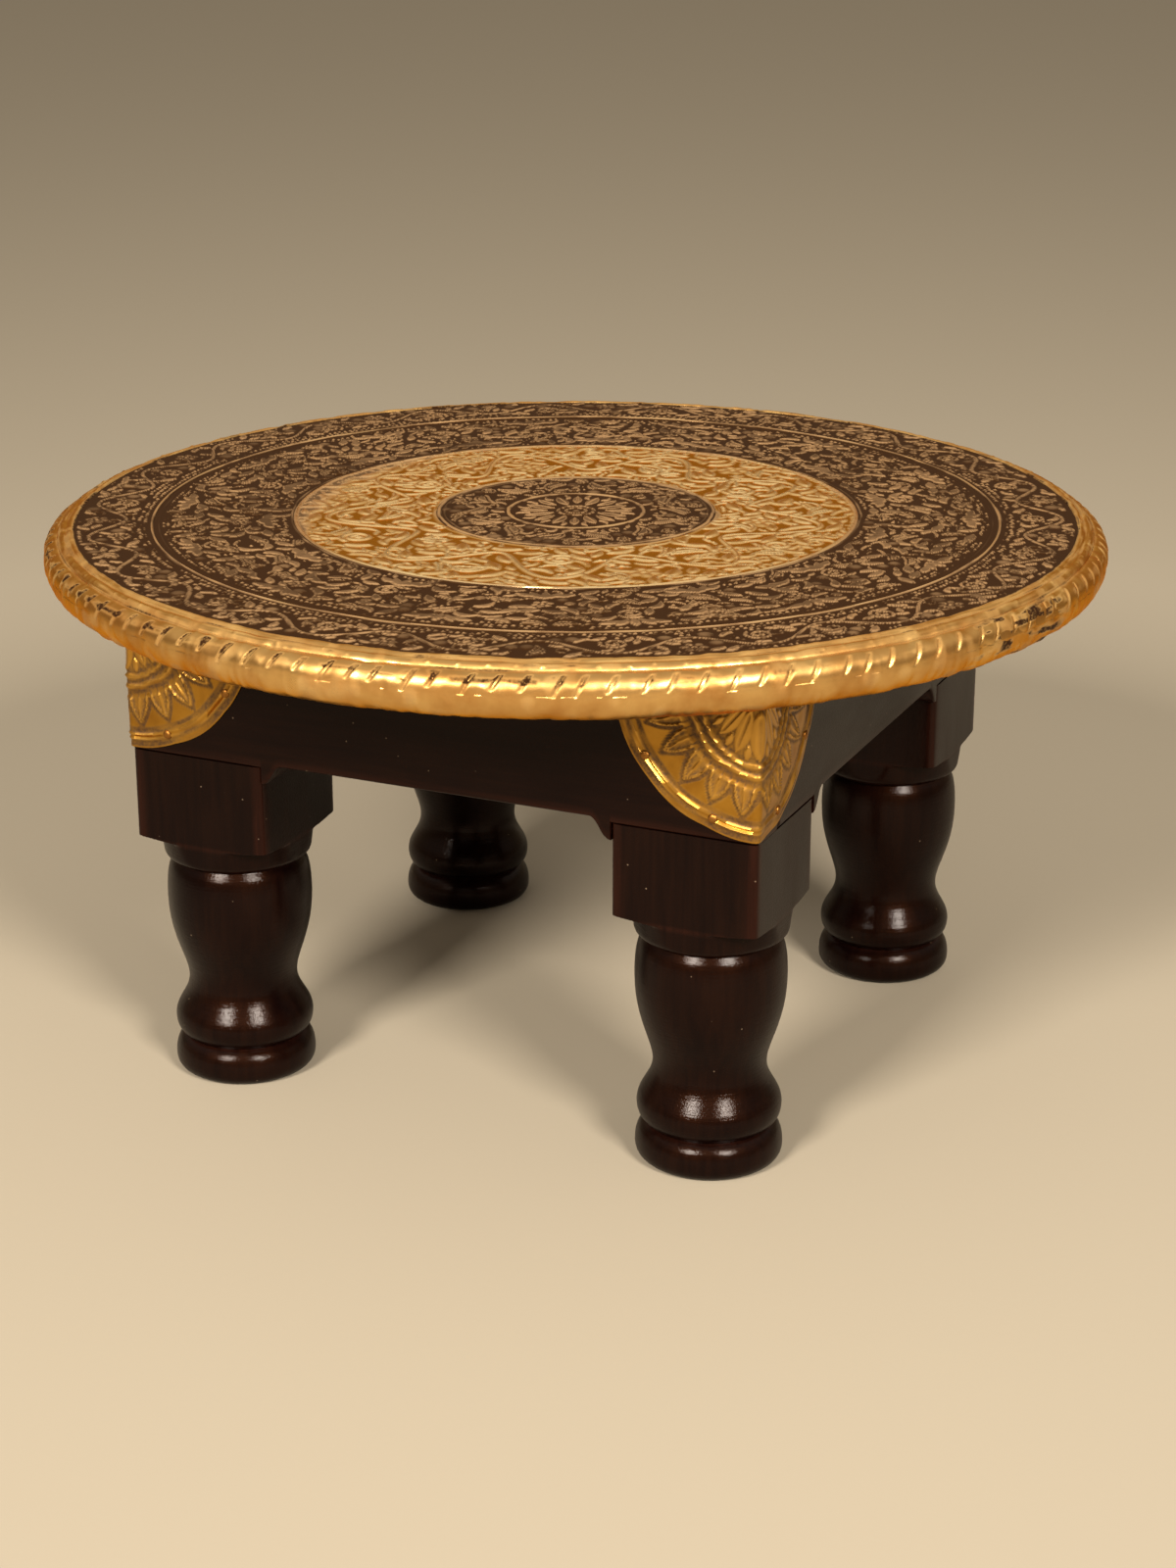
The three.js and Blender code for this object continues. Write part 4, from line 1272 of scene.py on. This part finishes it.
def corner_plate(name, node, side_x, side_y):
    """A half disc of sheet folded down its middle: a place is an angle and a radius from the top of
    the corner edge. Its distance from the fold wraps round a small arc and runs on along each face.
    The edge is scalloped: its radius is 0.985 of the full one, plus 0.012 of the size of 13 half waves
    and 0.014 of the squared sine of twice the angle, both fading toward the top of each face."""
    columns, rows = PLATE_COLUMNS, PLATE_ROWS
    angle = np.linspace(-math.pi / 2, math.pi / 2, columns)[None, :]
    share = np.linspace(0.01, 1, rows)[:, None]
    drop = 0.012 * np.abs(np.cos(6.5 * (angle + math.pi / 2))) + 0.014 * np.sin(2 * angle) ** 2
    edge = PLATE_RADIUS * (0.985 + drop * np.cos(angle) ** 2)
    radius = share * edge
    work = sunburst(radius * PLATE_RADIUS / edge, angle + math.pi / 2)
    flat = np.stack([radius * np.sin(angle), radius * np.cos(angle), 0 * radius], axis=-1)
    around = flat + [side_x * 300.0, side_y * 500.0, 0]  # far apart, so that no two plates match
    uneven = 0.26 * cloud(around, 11.0, 41) + 0.2 * creases(around, 4.5, 42)
    curl_up = 0.25 * smooth(share, 0.93, 1) * (0.5 + cloud(around, 9.0, 43))
    settings = bpy.context.scene.table_sizes
    dished = 0.35 * smooth(1 - share, 0.02, 0.12)
    lift = settings.plate_relief / MM * (work + dished) + (uneven + curl_up) * smooth(radius, 0, 6)
    lift = np.clip(lift, 0, 2)
    across, down = flat[..., 0], flat[..., 1]
    arc = BEND * math.pi / 4
    turned = np.clip(across / BEND, -math.pi / 4, math.pi / 4)
    beyond = np.sign(across) * np.clip(np.abs(across) - arc, 0, None)
    facing = turned - math.pi / 4
    bend_x = FRAME_HALF + PLATE_PROUD - 0.5 - BEND
    skins = []
    for height in (lift, np.full_like(lift, -PLATE_GAUGE)):
        reach = BEND + 0.3 + height
        x = bend_x + reach * np.cos(facing) + np.where(across < 0, beyond, 0)
        y = -bend_x + reach * np.sin(facing) + np.where(across > 0, beyond, 0)
        z = PLATE_TOP - down
        skins.append(np.stack([side_x * x, -side_y * y, z], axis=-1))
    outer, inner = skins
    count = rows * columns
    points = np.vstack([outer.reshape(-1, 3), inner.reshape(-1, 3)])
    i, j = np.meshgrid(np.arange(rows - 1), np.arange(columns - 1), indexing="ij")
    first = i * columns + j
    sheet = np.stack([first, first + 1, first + columns + 1, first + columns], axis=-1).reshape(-1, 4)
    border_line = np.concatenate(
        [
            np.arange(columns),
            np.arange(2 * columns - 1, count, columns),
            np.arange(count - 2, count - columns - 1, -1),
            np.arange(count - 2 * columns, 0, -columns),
        ]
    )
    onward = np.roll(border_line, -1)
    wall = np.stack([onward, border_line, border_line + count, onward + count], axis=-1)
    faces = [sheet, sheet[:, ::-1] + count, wall]
    relief = np.concatenate([work.reshape(-1), np.zeros(count)])
    spread = np.maximum.reduce([np.roll(work, s, a) for s in (-3, -2, 2, 3) for a in (0, 1)] + [work])
    cavity = np.clip(1.3 * (spread - work), 0, 1) * smooth(0.7 - work, 0, 0.5)
    cavity = np.concatenate([np.maximum(cavity, smooth(-work, 0.02, 0.3)).reshape(-1), np.zeros(count)])
    metal = made_of(sheet_plate_brass)
    fields = {"relief": relief, "cavity": cavity}
    return piece(name, points, faces, metal, [node], "plate_brass", fields, sharp=70)


class TABLE_OT_corner_plates(Operator):
    """Builds the four brass plates folded over the frame's corners, embossed with rays"""

    bl_idname = "table.corner_plates"
    bl_label = "Corner plates"

    def execute(self, context):
        for where, (side_x, side_y) in CORNERS.items():
            corner_plate(f"sunburst_plate_{where}", f"corner_plate_{where}", side_x, side_y)
        return {"FINISHED"}


SHANK_RADIUS = 0.7
POINT_LENGTH = 1.8
HEAD_DENT = 0.12
NAIL_COLUMNS = 28


def nail(name, node, head_at, direction, head_radius, head_height, length, metal):
    """A round-headed nail turned about its own axis: a domed head, elliptical in section and dented by
    the hammer, on a straight pointed shank. Its axis is one of the frame's."""
    wide, high = head_radius, head_height
    line = bezier(
        (0.15, high),
        ((0.6 * wide, high), (wide, 0.55 * high), (wide, 0.15 * high)),
        ((wide, 0.0), (0.94 * wide, 0.0), (0.9 * wide, 0.0)),
        ((SHANK_RADIUS, 0.0),),
        ((SHANK_RADIUS, POINT_LENGTH - length),),
        ((0.1, -length),),
        count=6,
    )
    angle = np.arange(NAIL_COLUMNS)[None, :] * TAU / NAIL_COLUMNS
    local = round_the_axis(line[:, :1] + 0 * angle, line[:, 1:], angle)
    seed = int(abs(head_at).sum())
    local[..., 2] += HEAD_DENT * cloud(local, 1.6, seed) * (local[..., 2] > 0.05)
    axis = np.array(direction, dtype=float)
    side = np.array([axis[1], axis[2], axis[0]])
    other = np.cross(axis, side)
    points = local @ np.stack([side, other, axis]) + head_at
    skin, faces = closed_skin(points)
    return piece(name, skin, faces, metal, [node], "nail_brass", sharp=60)


class TABLE_OT_nails(Operator):
    """Builds the round-headed nails in the corner plates and the tacks under the rim"""

    bl_idname = "table.nails"
    bl_label = "Nails and tacks"

    def execute(self, context):
        metal = made_of(drawn_nail_brass)
        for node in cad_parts:
            if not node.startswith(("plate_nail", "rim_tack")):
                continue
            low, high = span(node)
            middle = (low + high) / 2
            axis = int(np.argmax(high - low))
            direction = np.zeros(3)
            direction[axis] = -1 if node.startswith("rim_tack") else np.sign(middle[axis])
            tip_to_top = high[axis] - low[axis]
            head_height = 0.8 if node.startswith("rim_tack") else 0.95
            head_radius = max(np.delete(high - low, axis)) / 2
            head_at = middle + direction * (tip_to_top / 2 - head_height)
            shank = tip_to_top - head_height
            nail(f"{node}_head", node, head_at, direction, head_radius, head_height, shank, metal)
        return {"FINISHED"}


class TABLE_OT_hidden_fixings(Operator):
    """Gives the frame's nails and screws, which the brass hides, their steel"""

    bl_idname = "table.hidden_fixings"
    bl_label = "Hidden fixings"

    def execute(self, context):
        steel = made_of(zinc_plated_steel)
        for node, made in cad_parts.items():
            if node.startswith(("frame_nail", "leg_screw", "top_screw")):
                made.data.materials.clear()
                made.data.materials.append(steel)
        return {"FINISHED"}


# ---------------------------------------------------------------- stage

CAMERA_PLACE = (0.440, -0.964, 0.471)
CAMERA_TURN, CAMERA_TILT = math.radians(24.3), math.radians(70.28)
CAMERA_LENS = 69.24
TABLE_MIDDLE = 0.12  # height the lights point at, in metres
FLOOR_HALF = 9.0
LIGHT_AWAY = 3.0
LIGHT_RISE = math.radians(31)
LIGHT_SIZE = 0.7
LIGHT_SPREAD = math.radians(75)
KEY_TURN, KEY_POWER = math.radians(-31), 24
FILL_TURN, FILL_POWER = math.radians(27), 22
ROOM_POWER = 0.66


def softbox(name, azimuth, power):
    """A square light that faces the table from a direction, given as an azimuth from +X."""
    lamp = bpy.data.lights.new(name, "AREA")
    lamp.shape = "SQUARE"
    lamp.size = LIGHT_SIZE
    lamp.energy = power
    lamp.spread = LIGHT_SPREAD
    lamp.color = bpy.context.scene.table_colours.lamp
    made = bpy.data.objects.new(name, lamp)
    bpy.context.scene.collection.objects.link(made)
    flat = LIGHT_AWAY * math.cos(LIGHT_RISE)
    rise = LIGHT_AWAY * math.sin(LIGHT_RISE) + TABLE_MIDDLE
    made.location = (flat * math.cos(azimuth), flat * math.sin(azimuth), rise)
    made.rotation_euler = Euler((math.pi / 2 - LIGHT_RISE, 0, azimuth + math.pi / 2))
    return made


def studio_walls():
    """The room's light: a warm tan that brightens to near white from the horizon to the ceiling."""
    world = bpy.data.worlds.new("studio_walls")
    world.use_nodes = True
    world.node_tree.nodes.clear()
    tree = world.node_tree
    view = add(tree, "ShaderNodeTexCoord").outputs["Generated"]
    up = add(tree, "ShaderNodeSeparateXYZ", {"Vector": view}).outputs["Z"]
    walls = blend(tree, remap(tree, up, 0.18, 0.75), chosen("walls"), chosen("ceiling"))
    light = add(tree, "ShaderNodeBackground", {"Color": walls, "Strength": ROOM_POWER}).outputs[0]
    add(tree, "ShaderNodeOutputWorld", {"Surface": light})
    bpy.context.scene.world = world


class TABLE_OT_stage(Operator):
    """Adds the pale floor, the soft lights, the room and the camera"""

    bl_idname = "table.stage"
    bl_label = "Studio"

    def execute(self, context):
        corners = [(x * FLOOR_HALF, y * FLOOR_HALF, 0) for x, y in CORNERS.values()]
        mesh = bpy.data.meshes.new("floor")
        mesh.from_pydata(corners, [], [(0, 1, 2, 3)])
        mesh.materials.append(made_of(matt_paper))
        floor = bpy.data.objects.new("floor", mesh)
        context.scene.collection.objects.link(floor)
        facing = CAMERA_TURN - math.pi / 2
        softbox("key_light", facing + KEY_TURN, KEY_POWER)
        softbox("fill_light", facing + FILL_TURN, FILL_POWER)
        studio_walls()
        camera = bpy.data.cameras.new("camera")
        camera.lens = CAMERA_LENS
        stand = bpy.data.objects.new("camera", camera)
        stand.location = CAMERA_PLACE
        stand.rotation_euler = (CAMERA_TILT, 0, CAMERA_TURN)
        context.scene.collection.objects.link(stand)
        context.scene.camera = stand
        context.scene.view_settings.view_transform = "Standard"
        return {"FINISHED"}


# ---------------------------------------------------------------- the panel

STEPS = (
    TABLE_OT_top_sheet,
    TABLE_OT_rim_strip,
    TABLE_OT_board,
    TABLE_OT_aprons,
    TABLE_OT_legs,
    TABLE_OT_corner_plates,
    TABLE_OT_nails,
    TABLE_OT_hidden_fixings,
    TABLE_OT_stage,
)


class TABLE_PT_panel(Panel):
    """Sizes, colours and the steps that build the table"""

    bl_idname = "TABLE_PT_panel"
    bl_label = "Brass-topped table"
    bl_space_type = "VIEW_3D"
    bl_region_type = "UI"
    bl_category = "Table"

    def draw(self, context):
        for group in (context.scene.table_sizes, context.scene.table_colours):
            box = self.layout.box()
            for name in type(group).__annotations__:
                box.prop(group, name)
        for step in STEPS:
            self.layout.operator(step.bl_idname)


CLASSES = (TableSizes, TableColours, *STEPS, TABLE_PT_panel)


def register():
    for each in CLASSES:
        bpy.utils.register_class(each)
    bpy.types.Scene.table_sizes = PointerProperty(type=TableSizes)
    bpy.types.Scene.table_colours = PointerProperty(type=TableColours)


def unregister():
    del bpy.types.Scene.table_colours
    del bpy.types.Scene.table_sizes
    for each in reversed(CLASSES):
        bpy.utils.unregister_class(each)


def main():
    """Builds every piece in turn."""
    register()
    for step in STEPS:
        group, name = step.bl_idname.split(".")
        getattr(getattr(bpy.ops, group), name)()


if __name__ == "__main__":
    main()
